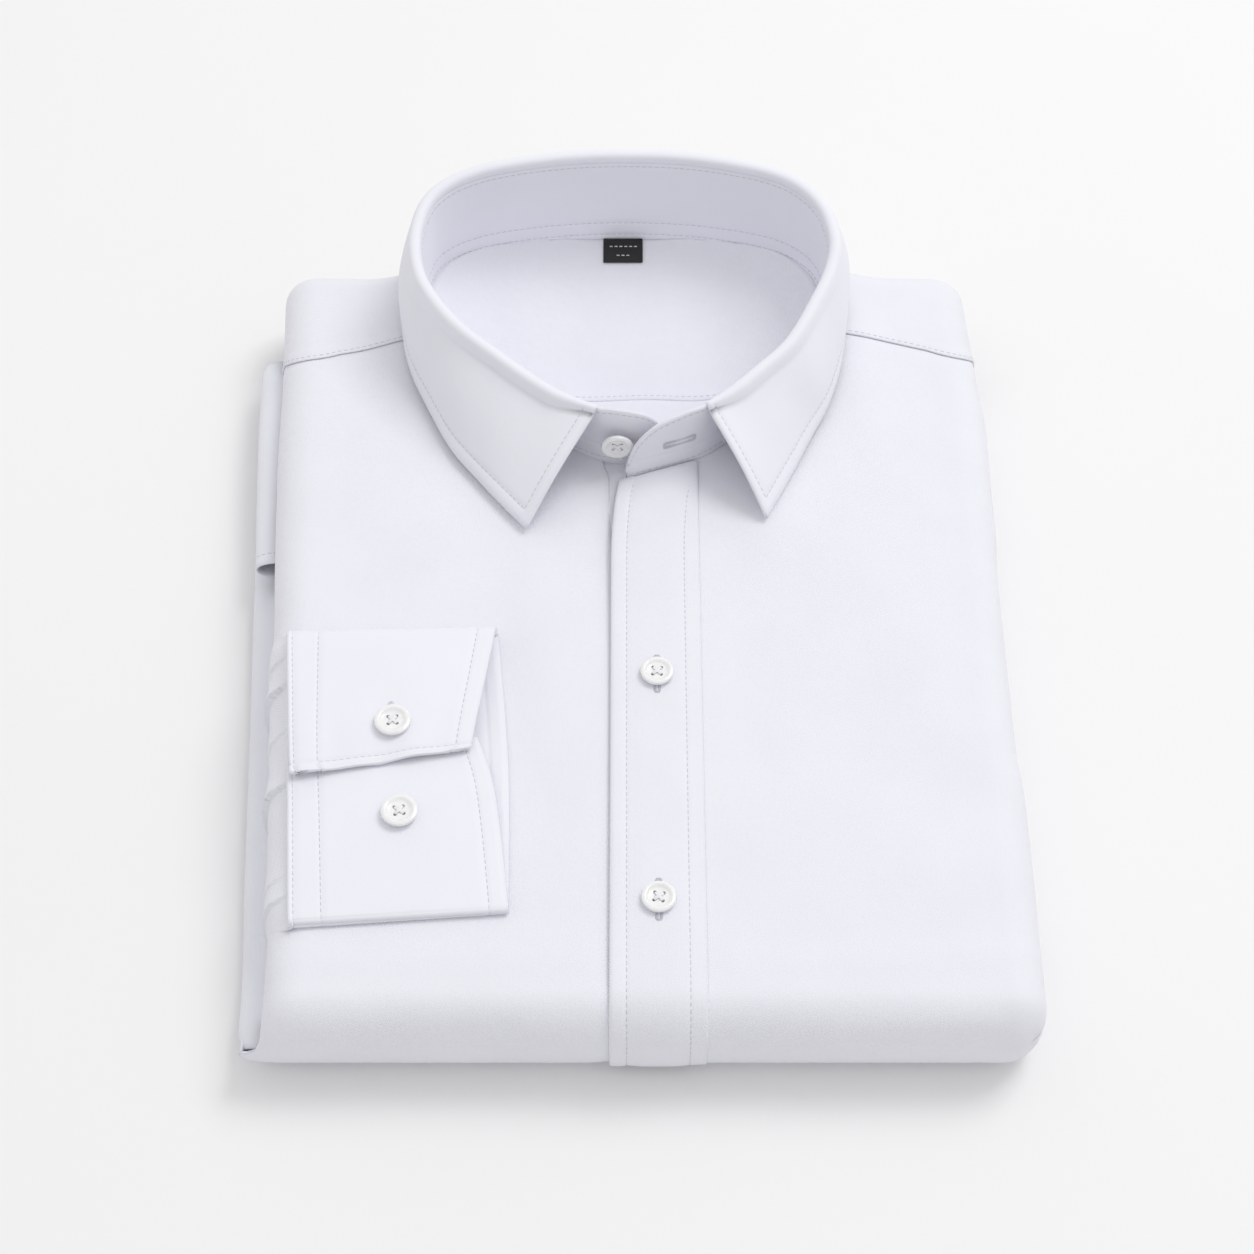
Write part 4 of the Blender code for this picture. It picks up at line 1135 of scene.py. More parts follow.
def floor_line(x_from, x_to, y, lift):
    """A stitch line across the neck's floor, as (outer, inner) pairs."""
    top = [Vector((x, y, neck_floor(x, y) + lift)) for x in between(x_from, x_to, 40)]
    return [(point, point - Vector((0, 0, 1))) for point in top]


add_stitches("neck_stitches", floor_line(-52, 52, YOKE_SEAM_Y + 1.7, 0.05))

# %% [markdown]
# ## The woven label
# Below the neck seam sits a small black satin label. A real one carries woven words, and this one has only
# rows of plain pale dashes, raised as woven floats are. Its top edge is caught in the seam and its corners
# are cut square and heat-sealed, so it is a thin piece of its own that follows the cloth under it.

# %% Make the label
LABEL_X = -1.6
LABEL_WIDTH = 15.4
LABEL_TOP_Y = 180.4
LABEL_BOTTOM_Y = 170.4
LABEL_LIFT = 0.9
LABEL_CLOTH = 0.5
LABEL_RIB = 0.35


def label_material(name, dark, light):
    """Woven satin: fine cross ribs in bump and a slight change of tone."""
    material, tree, shader = new_material(name)
    place = tree.nodes.new("ShaderNodeTexCoord").outputs["Object"]
    split = tree.nodes.new("ShaderNodeSeparateXYZ")
    tree.links.new(place, split.inputs[0])
    along = add_math(tree, "MULTIPLY", split.outputs["Y"], 2 * math.pi / (LABEL_RIB * MM))
    ribs = add_math(tree, "SINE", along)
    tree.links.new(bump(tree, ribs, 0.5, 0.03), shader.inputs["Normal"])
    tree.links.new(color_ramp(tree, noise(tree, place, 900.0), dark, light), shader.inputs["Base Color"])
    shader.inputs["Roughness"].default_value = 0.48
    return material


black_satin = label_material("black_satin", (0.002, 0.002, 0.0025), (0.005, 0.005, 0.006))
pale_floats = label_material("pale_floats", (0.55, 0.55, 0.58), (0.75, 0.75, 0.78))


def label_point(across, down, lift):
    """Point over the label: across and down in millimetres from its top middle."""
    x = LABEL_X + across
    y = LABEL_TOP_Y - down
    return Vector((x, y, neck_floor(x, y) + LABEL_LIFT + lift))


LABEL_LENGTH = LABEL_TOP_Y - LABEL_BOTTOM_Y
label_grid = [[label_point(a, d, 0.0) for a in between(-LABEL_WIDTH / 2, LABEL_WIDTH / 2, 25)]
              for d in between(0.0, LABEL_LENGTH, 22)]
label = cloth_wall("woven_label", label_grid, lowered(label_grid, LABEL_CLOTH), black_satin)
finish_cloth(label, "neck_label", (LABEL_WIDTH, LABEL_LENGTH))

# %% Plain dashes on the label
LABEL_ROWS = (
    # down from the top, first dash, number of dashes, dash length
    (3.6, -5.4, 6, 1.3),
    (7.4, -2.6, 3, 1.3),
)
DASH_STEP = 1.95
DASH_RADIUS = 0.28


def label_marks():
    """Two rows of raised dashes, as one mesh."""
    corners = []
    faces = []
    for down, first, count, length in LABEL_ROWS:
        for index in range(count):
            start = label_point(first + DASH_STEP * index, down, 0.05)
            end = label_point(first + DASH_STEP * index + length, down, 0.05)
            capsule(corners, faces, start, end, Vector((0, 0, 1)), DASH_RADIUS)
    item = mesh_piece("label_dashes", corners, faces, pale_floats)
    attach(item, "root")


label_marks()

# %% [markdown]
# ## The collar stand
# The stand is a firm band, two plies round an interlining, that rises from the neckline and carries the
# fall. Its two front ends are rounded and overlap: one has the button, the other the buttonhole. It could be
# a curve with a bevel, but its height changes all the way round, so it is a grid: columns along the route
# and rows up the band, pressed in along three stitch lines.

# %% Make the stand
ROLL_SEAM_DOWN = 4.5
ROLL_END_DOWN = 1.1
STAND_TOP_STITCH = 1.7
STAND_SUNK = 2.2
STAND_BACK_SUNK = 4.0
STAND_LOW_STITCH = 4.3
STAND_MID_STITCH = 10.8
STAND_LEAN = 0.5
STAND_COLUMNS = 280
last_row = len(COLLAR_ROUTE) - 1
stand_places = between(0, last_row, STAND_COLUMNS)


def stand_height(place):
    """Bottom and top height of the stand at one place of the route."""
    x, y, top = route_point(place)
    bottom = pile_top(x, y) - STAND_SUNK - STAND_BACK_SUNK * smooth_step((y - 140) / 40)
    inside = min(place - FIRST_ROLL, LAST_ROLL - place)
    if inside >= 0:
        return bottom, top - ROLL_END_DOWN - (ROLL_SEAM_DOWN - ROLL_END_DOWN) * smooth_step(inside / 1.3)
    return bottom, top - ROLL_END_DOWN * smooth_step(1 + inside)


def stand_levels(bottom, top):
    """Heights of the stand's rows, close together at its stitch lines."""
    tall = top - bottom
    marks = (STAND_LOW_STITCH, STAND_MID_STITCH, tall - STAND_TOP_STITCH)
    levels = [0.0, marks[0] - 0.5, marks[0], marks[0] + 0.5]
    levels += between(marks[0] + 0.5, marks[1] - 0.5, 6)[1:] + [marks[1], marks[1] + 0.5]
    levels += between(marks[1] + 0.5, marks[2] - 0.5, 12)[1:] + [marks[2], marks[2] + 0.5, tall]
    return [bottom + level for level in sorted(min(max(level, 0.0), tall) for level in levels)]


def stand_bow(z, bottom, top):
    """How far the stand leans in at a height; most in its middle."""
    return STAND_LEAN * math.sin(math.pi * (z - bottom) / (top - bottom))


stand_grid = []
for place in stand_places:
    x, y, _ = route_point(place)
    bottom, top = stand_height(place)
    lean = route_outward(place)
    stand_grid.append([Vector((x, y, z)) - lean * stand_bow(z, bottom, top)
                       for z in stand_levels(bottom, top)])
LOW_ROW, MID_ROW, TOP_ROW = 2, 9, len(stand_grid[0]) - 3


def stand_press(column, row):
    """Three stitch lines press the stand in."""
    return STITCH_PRESS * 0.8 if row in (LOW_ROW, MID_ROW, TOP_ROW) else 0.0


stand_outer, stand_inner = both_skins(stand_grid, STAND_CLOTH, stand_press)
stand = cloth_wall("collar_band", stand_outer, stand_inner, collar_cotton)
finish_cloth(stand, "collar_stand", (455, 42),
             area_mm2=0.75 * 455 * 42)
for row in (LOW_ROW, MID_ROW, TOP_ROW):
    line = [(inner[row], outer[row]) for outer, inner in zip(stand_outer, stand_inner)][3:-3]
    add_stitches("collar_stitches", line)
    if row != MID_ROW:
        add_stitches("collar_stitches", [(outer, inner) for inner, outer in line][:50])
        add_stitches("collar_stitches", [(outer, inner) for inner, outer in line][-60:])

# %% [markdown]
# ## The collar fall
# The fall is the part that shows: it leaves the stand, rolls over and comes down all round to the two
# points. Its section is drawn once, as millimetres out and down from the roll, and then blends to a hem
# table, so the roll can be round at the back and slope to the points in front. It is topstitched 5 mm inside
# its edge, and the edge itself is a little thicker, because the seam allowance lies in it.

# %% Section and hem of the fall
FALL_HEM = (
    # x, y, z
    (-37.2, 33.3, 40.6),
    (-46.5, 44.5, 40.6),
    (-56.5, 57.5, 40.6),
    (-66.5, 71.5, 40.8),
    (-76.0, 91.5, 41.4),
    (-82.5, 107.0, 42.2),
    (-86.3, 123.0, 43.2),
    (-87.8, 144.0, 44.6),
    (-83.5, 167.0, 45.6),
    (-66.0, 183.5, 45.8),
    (-33.0, 190.5, 46.0),
    (0.0, 192.0, 46.0),
    (33.0, 190.3, 46.0),
    (66.0, 182.5, 45.8),
    (82.0, 165.5, 45.4),
    (86.0, 145.0, 44.4),
    (84.8, 129.0, 43.2),
    (81.8, 110.0, 42.2),
    (76.5, 92.0, 41.4),
    (69.5, 76.5, 40.8),
    (61.0, 57.5, 40.6),
    (51.7, 38.3, 40.6),
)
ROLL_SECTION = (
    # out, down
    (-0.1, 3.9),
    (0.0, 2.2),
    (0.7, 1.3),
    (2.0, 1.0),
    (3.2, 1.5),
    (4.0, 3.0),
    (4.8, 6.0),
)
FALL_BELLY = 1.6
FALL_STITCH = 5.0
FALL_CLOTH = 1.35
FALL_EDGE_SWELL = 0.12
ROLL_STEPS = 18


def fall_section(place):
    """Middle line of the fall at one place of the route: over the roll and down to the hem."""
    roll = route_point(place)
    hem = Vector(curve_point(FALL_HEM, place - FIRST_ROLL))
    outward = Vector((hem.x - roll.x, hem.y - roll.y, 0.0)).normalized()
    square = route_outward(place)
    tight = 0.42 + 0.58 * smooth_step(min(place - FIRST_ROLL, LAST_ROLL - place) / 1.4)
    section = []
    for share in between(0.0, 1.0, ROLL_STEPS + 1):
        out, down = [tight * value for value in curve_point(ROLL_SECTION, share * (len(ROLL_SECTION) - 1))]
        direction = (square * (1 - share) + outward * share).normalized()
        section.append(Vector((roll.x, roll.y, roll.z - down)) + direction * out)
    start = section[-1]
    length = (hem - start).length
    stitch = 1 - FALL_STITCH / length
    step = GROOVE_HALF_WIDTH / length
    shares = between(0.0, stitch - step, 16)[1:] + [stitch, stitch + step, (stitch + 1) / 2 + step / 2, 1.0]
    for share in shares:
        section.append(start.lerp(hem, share) + (outward + Vector((0, 0, 0.6))) * fall_belly(place, share))
    return section


def fall_belly(place, share):
    """How far the fall swells off the straight line from roll to hem; uneven, as pressed cloth is."""
    uneven = 1 + 0.22 * math.sin(1.7 * place + 0.6) + 0.12 * math.sin(3.9 * place)
    return FALL_BELLY * math.sin(math.pi * share) * uneven


FALL_STITCH_ROW = ROLL_STEPS + 16
EDGE_STITCH_ROW = ROLL_STEPS - 6
print("the fall has a section of", len(fall_section(10)), "points")

# %% Make the fall
def fall_places():
    """Places along the fall, close together at the stitch lines down its two front edges."""
    first_step = (Vector(FALL_HEM[1]) - Vector(FALL_HEM[0])).length
    last_step = (Vector(FALL_HEM[-1]) - Vector(FALL_HEM[-2])).length
    near = FALL_STITCH * 1.05 / first_step
    far = FALL_STITCH * 1.05 / last_step
    fine = GROOVE_HALF_WIDTH / first_step
    start = [FIRST_ROLL + share for share in (0.0, near * 0.5, near - fine, near, near + fine)]
    end = [LAST_ROLL - share for share in (far + fine, far, far - fine, far * 0.5, 0.0)]
    return start + between(start[-1], end[0], 210)[1:-1] + end


fall_columns = fall_places()
FIRST_EDGE_COLUMN = 3
LAST_EDGE_COLUMN = len(fall_columns) - 4
fall_grid = [fall_section(place) for place in fall_columns]


def fall_press(column, row):
    """Stitch lines press the fall in, and its edge is a little thicker past them."""
    between_fronts = FIRST_EDGE_COLUMN <= column <= LAST_EDGE_COLUMN
    on_hem_line = row == FALL_STITCH_ROW and between_fronts
    on_front_line = column in (FIRST_EDGE_COLUMN, LAST_EDGE_COLUMN)
    if on_hem_line or (on_front_line and EDGE_STITCH_ROW < row <= FALL_STITCH_ROW):
        return STITCH_PRESS
    past_stitch = row > FALL_STITCH_ROW or not between_fronts
    return -FALL_EDGE_SWELL if past_stitch and row > ROLL_STEPS else 0.0


fall_outer, fall_inner = both_skins(fall_grid, FALL_CLOTH, fall_press)
if (fall_outer[100][30] - fall_inner[100][30]).z < 0:
    fall_outer, fall_inner = fall_inner, fall_outer
fall = cloth_wall("collar_leaf", fall_outer, fall_inner, collar_cotton)
finish_cloth(fall, "collar_fall", (430, 62), area_mm2=0.85 * 430 * 62)
hem_line = [(outer[FALL_STITCH_ROW], inner[FALL_STITCH_ROW]) for outer, inner in zip(fall_outer, fall_inner)]
add_stitches("collar_stitches", hem_line[FIRST_EDGE_COLUMN:LAST_EDGE_COLUMN + 1])
for column in (FIRST_EDGE_COLUMN, LAST_EDGE_COLUMN):
    edge_line = list(zip(fall_outer[column], fall_inner[column]))
    add_stitches("collar_stitches", edge_line[ROLL_STEPS - 4:FALL_STITCH_ROW + 1])

# %% [markdown]
# ## The cuff
# One cuff lies on the front, wound flat: its free end is a flap that comes over the top fold and ends above
# the lower layer. A table follows the band, with its left and right edge and its height at each place, and a
# smooth curve through the rows gives the two round folds. The grid is the band, with columns set close at the
# stitch lines, and the flap's edge is gently wavy, as an unbuttoned cuff is.

# %% The cuff's band
CUFF_BAND = (
    # left x, left y, right x, right y, z
    (-115.5, -78.8, -54.5, -67.9, 44.9),
    (-117.2, -61.4, -53.0, -56.5, 45.4),
    (-119.2, -39.7, -50.0, -35.7, 45.4),
    (-120.8, -21.4, -47.8, -19.9, 45.0),
    (-121.1, -17.5, -47.4, -15.6, 43.9),
    (-121.2, -16.3, -47.2, -14.2, 42.2),
    (-121.1, -17.5, -46.8, -15.6, 40.5),
    (-120.8, -21.9, -46.2, -19.9, 39.3),
    (-116.9, -74.3, -41.5, -71.3, 39.1),
    (-112.9, -130.1, -40.1, -124.5, 39.1),
    (-112.5, -133.4, -40.1, -128.4, 39.35),
    (-112.5, -134.1, -40.1, -129.2, 40.15),
    (-112.5, -133.4, -40.1, -128.4, 40.95),
    (-112.9, -129.6, -40.5, -124.0, 41.2),
    (-114.8, -103.9, -43.5, -98.8, 41.9),
    (-116.5, -81.2, -46.8, -78.7, 42.4),
    (-117.8, -65.4, -52.4, -61.4, 42.6),
)
CUFF_CLOTH = 1.1
CUFF_WIDTH = 75.0
CUFF_SEAMS = (1.4, 11.0)
CUFF_EDGE_SEAM = 6.2
CUFF_END_SEAM = 5.0
CUFF_CORNER = 2.6
CUFF_RIDGE = 0.35
CUFF_END_SWELL = 0.3


def cuff_columns():
    """Offsets across the band: from its left edge, and in its right half from the right edge."""
    left = groove_stations(CUFF_WIDTH / 2, CUFF_SEAMS, 2.2)
    right = groove_stations(CUFF_WIDTH / 2, (CUFF_EDGE_SEAM,), 2.2)[-2::-1]
    return [(offset, None) for offset in left] + [(None, offset) for offset in right]


def cuff_row_places():
    """Places along the band in rows of its table: dense in the folds and at the flap's stitch line."""
    seam = CUFF_END_SEAM / CUFF_END_STEP
    step = GROOVE_HALF_WIDTH / CUFF_END_STEP
    places = [seam * share for share in (0.0, 0.04, 0.12, 0.25, 0.42, 0.6)]
    places += [seam - step, seam, seam + step] + between(seam + step, 3.0, 26)[1:]
    places += between(3.0, 7.0, 25)[1:] + between(7.0, 9.0, 22)[1:] + between(9.0, 13.0, 25)[1:]
    return places + between(13.0, 16.0, 30)[1:]


CUFF_END_STEP = (Vector(CUFF_BAND[0][:2]) - Vector(CUFF_BAND[1][:2])).length
cuff_places = cuff_row_places()
cuff_offsets = cuff_columns()
FLAP_SEAM_ROW = 7
FLAP_FOLD_ROW = 46
LOWER_PLY_ROW = 94


def cuff_point(place, offset):
    """Middle of the cuff's cloth at a place along the band and an offset across it."""
    left_x, left_y, right_x, right_y, z = curve_point(CUFF_BAND, place)
    start, end = Vector((left_x, left_y, z)), Vector((right_x, right_y, z))
    from_left, from_right = offset
    near_end = max(0.0, CUFF_CORNER - place * CUFF_END_STEP)
    trim = CUFF_CORNER - math.sqrt(CUFF_CORNER ** 2 - near_end ** 2)
    inside = trim + (from_left or from_right or 0.0) * (1 - 2 * trim / CUFF_WIDTH)
    share = inside / CUFF_WIDTH if from_right is None else 1 - inside / CUFF_WIDTH
    point = start.lerp(end, share)
    if place < 3:
        loose = smooth_step(1 - place / 2.5)
        point.z += loose * (0.55 + 0.6 * math.sin(share * 9.5 + 0.8) + 0.35 * math.sin(share * 21.0))
        point.z += 0.9 * math.sin(math.pi * min(1.0, place / 3.0)) * math.sin(math.pi * share)
    if place > 12:
        point.z += 0.45 * math.sin(math.pi * share) * smooth_step((place - 12) / 2)
    return point


print("the cuff has", len(cuff_places), "rows and", len(cuff_offsets), "columns")

# %% Make the cuff
cuff_grid = [[cuff_point(place, offset) for offset in cuff_offsets] for place in cuff_places]


def cuff_press(row, column):
    """Stitch lines press the cuff in; its left edge and the flap's end are thicker."""
    from_left, from_right = cuff_offsets[column]
    if from_left in CUFF_SEAMS or from_right == CUFF_EDGE_SEAM or row == FLAP_SEAM_ROW:
        return STITCH_PRESS
    ridge = CUFF_RIDGE * math.exp(-(from_left / 0.7) ** 2) if from_right is None else 0.0
    return -ridge - (CUFF_END_SWELL if row < FLAP_SEAM_ROW else 0.0)


cuff_outer, cuff_inner = both_skins(cuff_grid, CUFF_CLOTH, cuff_press)
if (cuff_outer[10][10] - cuff_inner[10][10]).z < 0:
    cuff_outer, cuff_inner = cuff_inner, cuff_outer
cuff = cloth_wall("cuff_band", cuff_outer, cuff_inner, collar_cotton)
finish_cloth(cuff, "cuff", (245, 78))
seam_columns = [cuff_offsets.index((seam, None)) for seam in CUFF_SEAMS]
seam_columns.append(cuff_offsets.index((None, CUFF_EDGE_SEAM)))
for column in seam_columns:
    both = [(outer[column], inner[column]) for outer, inner in zip(cuff_outer, cuff_inner)]
    first = 0 if column == seam_columns[0] else FLAP_SEAM_ROW
    add_stitches("cuff_stitches", both[first:FLAP_FOLD_ROW])
    add_stitches("cuff_stitches", both[LOWER_PLY_ROW:])
flap_seam = list(zip(cuff_outer[FLAP_SEAM_ROW], cuff_inner[FLAP_SEAM_ROW]))
add_stitches("cuff_stitches", flap_seam[seam_columns[1]:seam_columns[2] + 1])

# %% [markdown]
# ## The pleated end of the sleeve
# Beside the cuff the sleeve shows as a narrow strip, gathered into the cuff with small pleats, and wraps over
# the left edge. It goes in between the cuff's two plies, as it is sewn. A pleat is a step in height: steep on
# one side, where the fold stands over the next one, and easing away on the other, and it slants down as it
# goes round the edge. The rows are close together so that each step stays crisp.

# %% Make the sleeve's strip
STRIP_TOP_Y = -15.6
STRIP_BOTTOM_Y = -135.6
STRIP_LIFT_EDGE = 1.1
STRIP_INTO_CUFF = 1.0
STRIP_CLOTH = 1.0
STRIP_COLUMNS = 24
STRIP_ROWS = 260
STRIP_SEAM_Z = 41.0
STRIP_SEAM_STEP = 1.9
STRIP_END_FADE = 9.0
STRIP_RISE = 3.0
STRIP_TOP_RISE = 4.0
PLEATS = (
    # y where the pleat's fold lies, its height
    (-22.5, 0.9),
    (-35.3, 2.1),
    (-54.5, 0.6),
    (-77.0, 2.1),
    (-113.0, 0.9),
    (-121.5, 1.2),
)
PLEAT_FADE = 16.0
PLEAT_EDGE = 0.25
PLEAT_SLANT = 4.2


def cuff_seam_x(y):
    """x of the cuff's left edge."""
    top, bottom = CUFF_BAND[5], CUFF_BAND[11]
    return top[0] + (bottom[0] - top[0]) * (y - top[1]) / (bottom[1] - top[1])


def pleat_lift(t):
    """How much the pleats add: each rises sharply at its fold and fades away from it."""
    lift = 0.0
    for place, height in PLEATS:
        run = t - place
        rise = smooth_step(run / PLEAT_EDGE + 1)
        lift = max(lift, height * rise * max(0.0, 1 - max(run, 0.0) / PLEAT_FADE) ** 1.5)
    return lift


def strip_line(t):
    """One line of the strip, from inside the cuff round the pile's left edge: its places and points."""
    edge = read_table(LEFT_EDGE, t)
    seam_z = STRIP_SEAM_Z + STRIP_SEAM_STEP * smooth_step((t + 77) / 12)
    seam = Vector((cuff_seam_x(t) + STRIP_INTO_CUFF, t, seam_z))
    first_turn = math.asin((edge + FOLD_RADIUS - seam.x) / (FOLD_RADIUS + STRIP_LIFT_EDGE))
    places = []
    outer = []
    for turn in between(first_turn, STRIP_TURN, STRIP_COLUMNS):
        down = (turn - first_turn) / (STRIP_TURN - first_turn)
        rise = (STRIP_RISE + STRIP_TOP_RISE * smooth_step((t + 60) / 40)) * smooth_step(down * 1.5)
        slant = rise + PLEAT_SLANT * smooth_step(down * 1.3)
        place = (edge + FOLD_RADIUS * (1 - turn), t + rise)
        from_end = min(STRIP_TOP_Y - t, t - STRIP_BOTTOM_Y)
        lift = STRIP_LIFT_EDGE - smooth_step(1 - from_end / STRIP_END_FADE)
        lift += pleat_lift(t + slant) * smooth_step(down * 10)
        places.append(place)
        outer.append(seam.lerp(pile_point(*place, lift), smooth_step((turn - first_turn) / 0.7)))
    return places, outer


def under_strip(outer):
    """The inner side of one line: straight below it in the cuff, and in towards the pile past it."""
    inward = Vector((1.0, 0.0, -1.2)).normalized()
    inner = []
    for step, point in enumerate(outer):
        out_of_cuff = smooth_step(step / 4)
        down = Vector((0, 0, -0.8 * STRIP_CLOTH * (1 - out_of_cuff)))
        inner.append(point + inward * STRIP_CLOTH * out_of_cuff + down)
    return inner


sleeve_lines, sleeve_outer = zip(*(strip_line(t) for t in between(STRIP_TOP_Y, STRIP_BOTTOM_Y, STRIP_ROWS)))
sleeve_inner = [under_strip(outer) for outer in sleeve_outer]
sleeve = cloth_wall("sleeve_end", sleeve_outer, sleeve_inner, body_cotton, sleeve_lines)
finish_cloth(sleeve, "sleeve_right", (32, 128))

# %% [markdown]
# ## The sleeve's layers at the left
# The rest of the sleeve is folded back under the shirt and stands out on the left as two flat rolls. The
# upper one is a tube that ends open, with a stitched hem. Each is a row of narrow loops: straight at the top
# and bottom and round at the nose, thinning away at the back.

# %% Make the two side layers
SIDE_LAYER_OUT = (
    # y, x of the outermost layer's fold
    (-169.0, -129.4),
    (-160.0, -131.0),
    (-105.0, -134.3),
    (34.0, -141.7),
    (124.0, -146.6),
    (134.0, -145.4),
    (137.0, -142.0),
)
SIDE_TUCK = 6.2
SIDE_CLOTH = 1.0
HEM_FROM_END = 5.0
NOSE_REACH = 8.5
NOSE_POINTS = 19
NOSE_COLUMN = 2 + NOSE_POINTS // 2
END_LEAN = 0.45
LOWER_ROLL_END_Y = -167.6
LOWER_ROLL_END_RISE = 5.4
LOWER_ROLL_Z = (1.0, 10.8)
UPPER_ROLL_Z = (11.4, 21.6)


def side_layer_grid(y_front, heights, inset, waviness, end_rise):
    """Loops of a flat roll of cloth, from its back end to its front end."""
    low, high = heights
    middle = (low + high) / 2
    half = (high - low) / 2 - SIDE_CLOTH / 2
    y_back = SIDE_LAYER_BACK_Y - inset
    grid = []
    for y in between(y_back, y_front, max(40, round((y_back - y_front) / 2.2))):
        nose = read_table(SIDE_LAYER_OUT, y) + inset + SIDE_CLOTH / 2
        tuck = read_table(LEFT_EDGE, y) + SIDE_TUCK
        thin = smooth_step((SIDE_LAYER_BACK_Y + 3 - y) / 16)
        rise = end_rise / 2 * smooth_step((y_front + 28 - y) / 22)
        tall = thin * (half + rise)
        wave = waviness * math.sin(y * 0.071 + inset) * smooth_step((y_back - y) / 30) * thin
        reach = min(NOSE_REACH, tuck - nose - 1)
        level = middle + rise
        line = [Vector((tuck + (nose + reach - tuck) * share, y, level + tall)) for share in (0.0, 0.5)]
        for angle in between(90, 270, NOSE_POINTS):
            line.append(Vector((nose + reach + reach * math.cos(math.radians(angle)), y,
                                level + wave + (tall - abs(wave)) * math.sin(math.radians(angle)))))
        line += [Vector((tuck + (nose + reach - tuck) * share, y, level - tall)) for share in (0.5, 0.0)]
        lean = END_LEAN * smooth_step((y_front + 9 - y) / 9) if end_rise else 0.0
        for point in line:
            point.y += lean * (level + tall - point.z)
        grid.append(line)
    return grid


def make_side_layer(name, node, y_front, heights, inset, waviness, end_rise, flat_mm):
    """Makes one roll and gives its two skins."""
    grid = side_layer_grid(y_front, heights, inset, waviness, end_rise)
    outer, inner = both_skins(grid, SIDE_CLOTH)
    if outer[20][NOSE_COLUMN].x > inner[20][NOSE_COLUMN].x:
        outer, inner = inner, outer
    item = cloth_wall(name, outer, inner, body_cotton)
    finish_cloth(item, node, flat_mm)
    return outer, inner


make_side_layer("sleeve_fold_lower", "side_layer_lower", LOWER_ROLL_END_Y, LOWER_ROLL_Z,
                0.0, 0.6, LOWER_ROLL_END_RISE, (34, 306))
tube_outer, tube_inner = make_side_layer("sleeve_fold_upper", "side_layer_upper", UPPER_LAYER_END_Y,
                                         UPPER_ROLL_Z, 1.3, 0.4, 0.0, (36, 105))


def off_hem(row):
    """How far a row of the tube lies from where its hem is stitched."""
    return abs(tube_outer[row][NOSE_COLUMN].y - UPPER_LAYER_END_Y - HEM_FROM_END)


hem_row = min(range(len(tube_outer)), key=off_hem)
add_stitches("front_stitches", list(zip(tube_outer[hem_row], tube_inner[hem_row]))[1:15])

# %% [markdown]
# ## The tail and the back, underneath
# The shirt rests on its own tail, folded up over the back. Its curved hem is narrow and stitched. Both
# pieces lie flat, so each is a plain thin wall, but the hem is real, because the part can be turned over.

# %% Make the underside
UNDER_FRONT_Y = FLAT_END + UNDER_MARGIN + 0.5
UNDER_X = (-111.0, 93.0)
TAIL_HEM_Y = 62.0
TAIL_HEM_RISE = 34.0
TAIL_Z = (0.25, 1.5)
BACK_Z = (1.8, 3.2)
BACK_Y = (-100.0, 145.0)
HEM_STITCH_IN = 6.0
UNDER_SHARE = 0.93


def tail_hem(x):
    """y of the tail's curved hem."""
    middle = (UNDER_X[0] + UNDER_X[1]) / 2
    half = (UNDER_X[1] - UNDER_X[0]) / 2
    return TAIL_HEM_Y + TAIL_HEM_RISE * (1 - ((x - middle) / half) ** 2)


def under_panel(name, node, y_from, hem, heights, flat_mm):
    """A flat panel of the underside between two heights, with a curved hem."""
    lines = [[(x, y_from + (hem(x) - y_from) * share) for share in between(0.0, 1.0, 60)]
             for x in between(UNDER_X[0], UNDER_X[1], 60)]
    inner, outer = [[[Vector((x, y, z)) for x, y in line] for line in lines] for z in heights]
    item = cloth_wall(name, outer, inner, body_cotton, lines)
    finish_cloth(item, node, flat_mm,
                 area_mm2=UNDER_SHARE * flat_mm[0] * flat_mm[1])


under_panel("tail_panel", "shirt_tail", UNDER_FRONT_Y, tail_hem, TAIL_Z, (204, 222))
under_panel("back_under", "back_outer", BACK_Y[0], lambda x: BACK_Y[1], BACK_Z, (204, 245))
tail_seam = []
for x in between(UNDER_X[0] + 2, UNDER_X[1] - 2, 60):
    point = Vector((x, tail_hem(x) - HEM_STITCH_IN, 0.0))
    tail_seam.append((point + Vector((0, 0, 0.32)), point + Vector((0, 0, 1))))
add_stitches("tail_stitches", tail_seam)

# %% [markdown]
# ## The hidden layers
# Inside the pile lie the rest of the fronts, the back and the other sleeve. Modelling each would hide work
# where nobody can look, so one rounded solid stands for them all. Where the corners let one look in, its
# rim is drawn as a stack of soft folds: a row of half circles, one for each layer.

# %% Make the folded layers
CORE_TOP = 2.4
CORE_UNDER = 3.6
CORE_LEFT_INSET = 12.0
CORE_BACK_INSET = 2.0
CORE_LAYERS = 6
CORE_GROOVE = 1.7
CORE_START_TURN = math.radians(42.0)
NECK_CLEAR = 6.0
NECK_FLOOR_CLEAR = 3.6
LOOPS_A_LAYER = 6


def in_neck(x, y):
    """Whether a point lies inside the neckline, or within NECK_CLEAR of it."""
    if y < NECK_FLOOR_FRONT_Y - NECK_CLEAR or y > neck_back(x) + NECK_CLEAR:
        return False
    return neck_side(y, -1) - NECK_CLEAR < x < neck_side(y, 1) + NECK_CLEAR


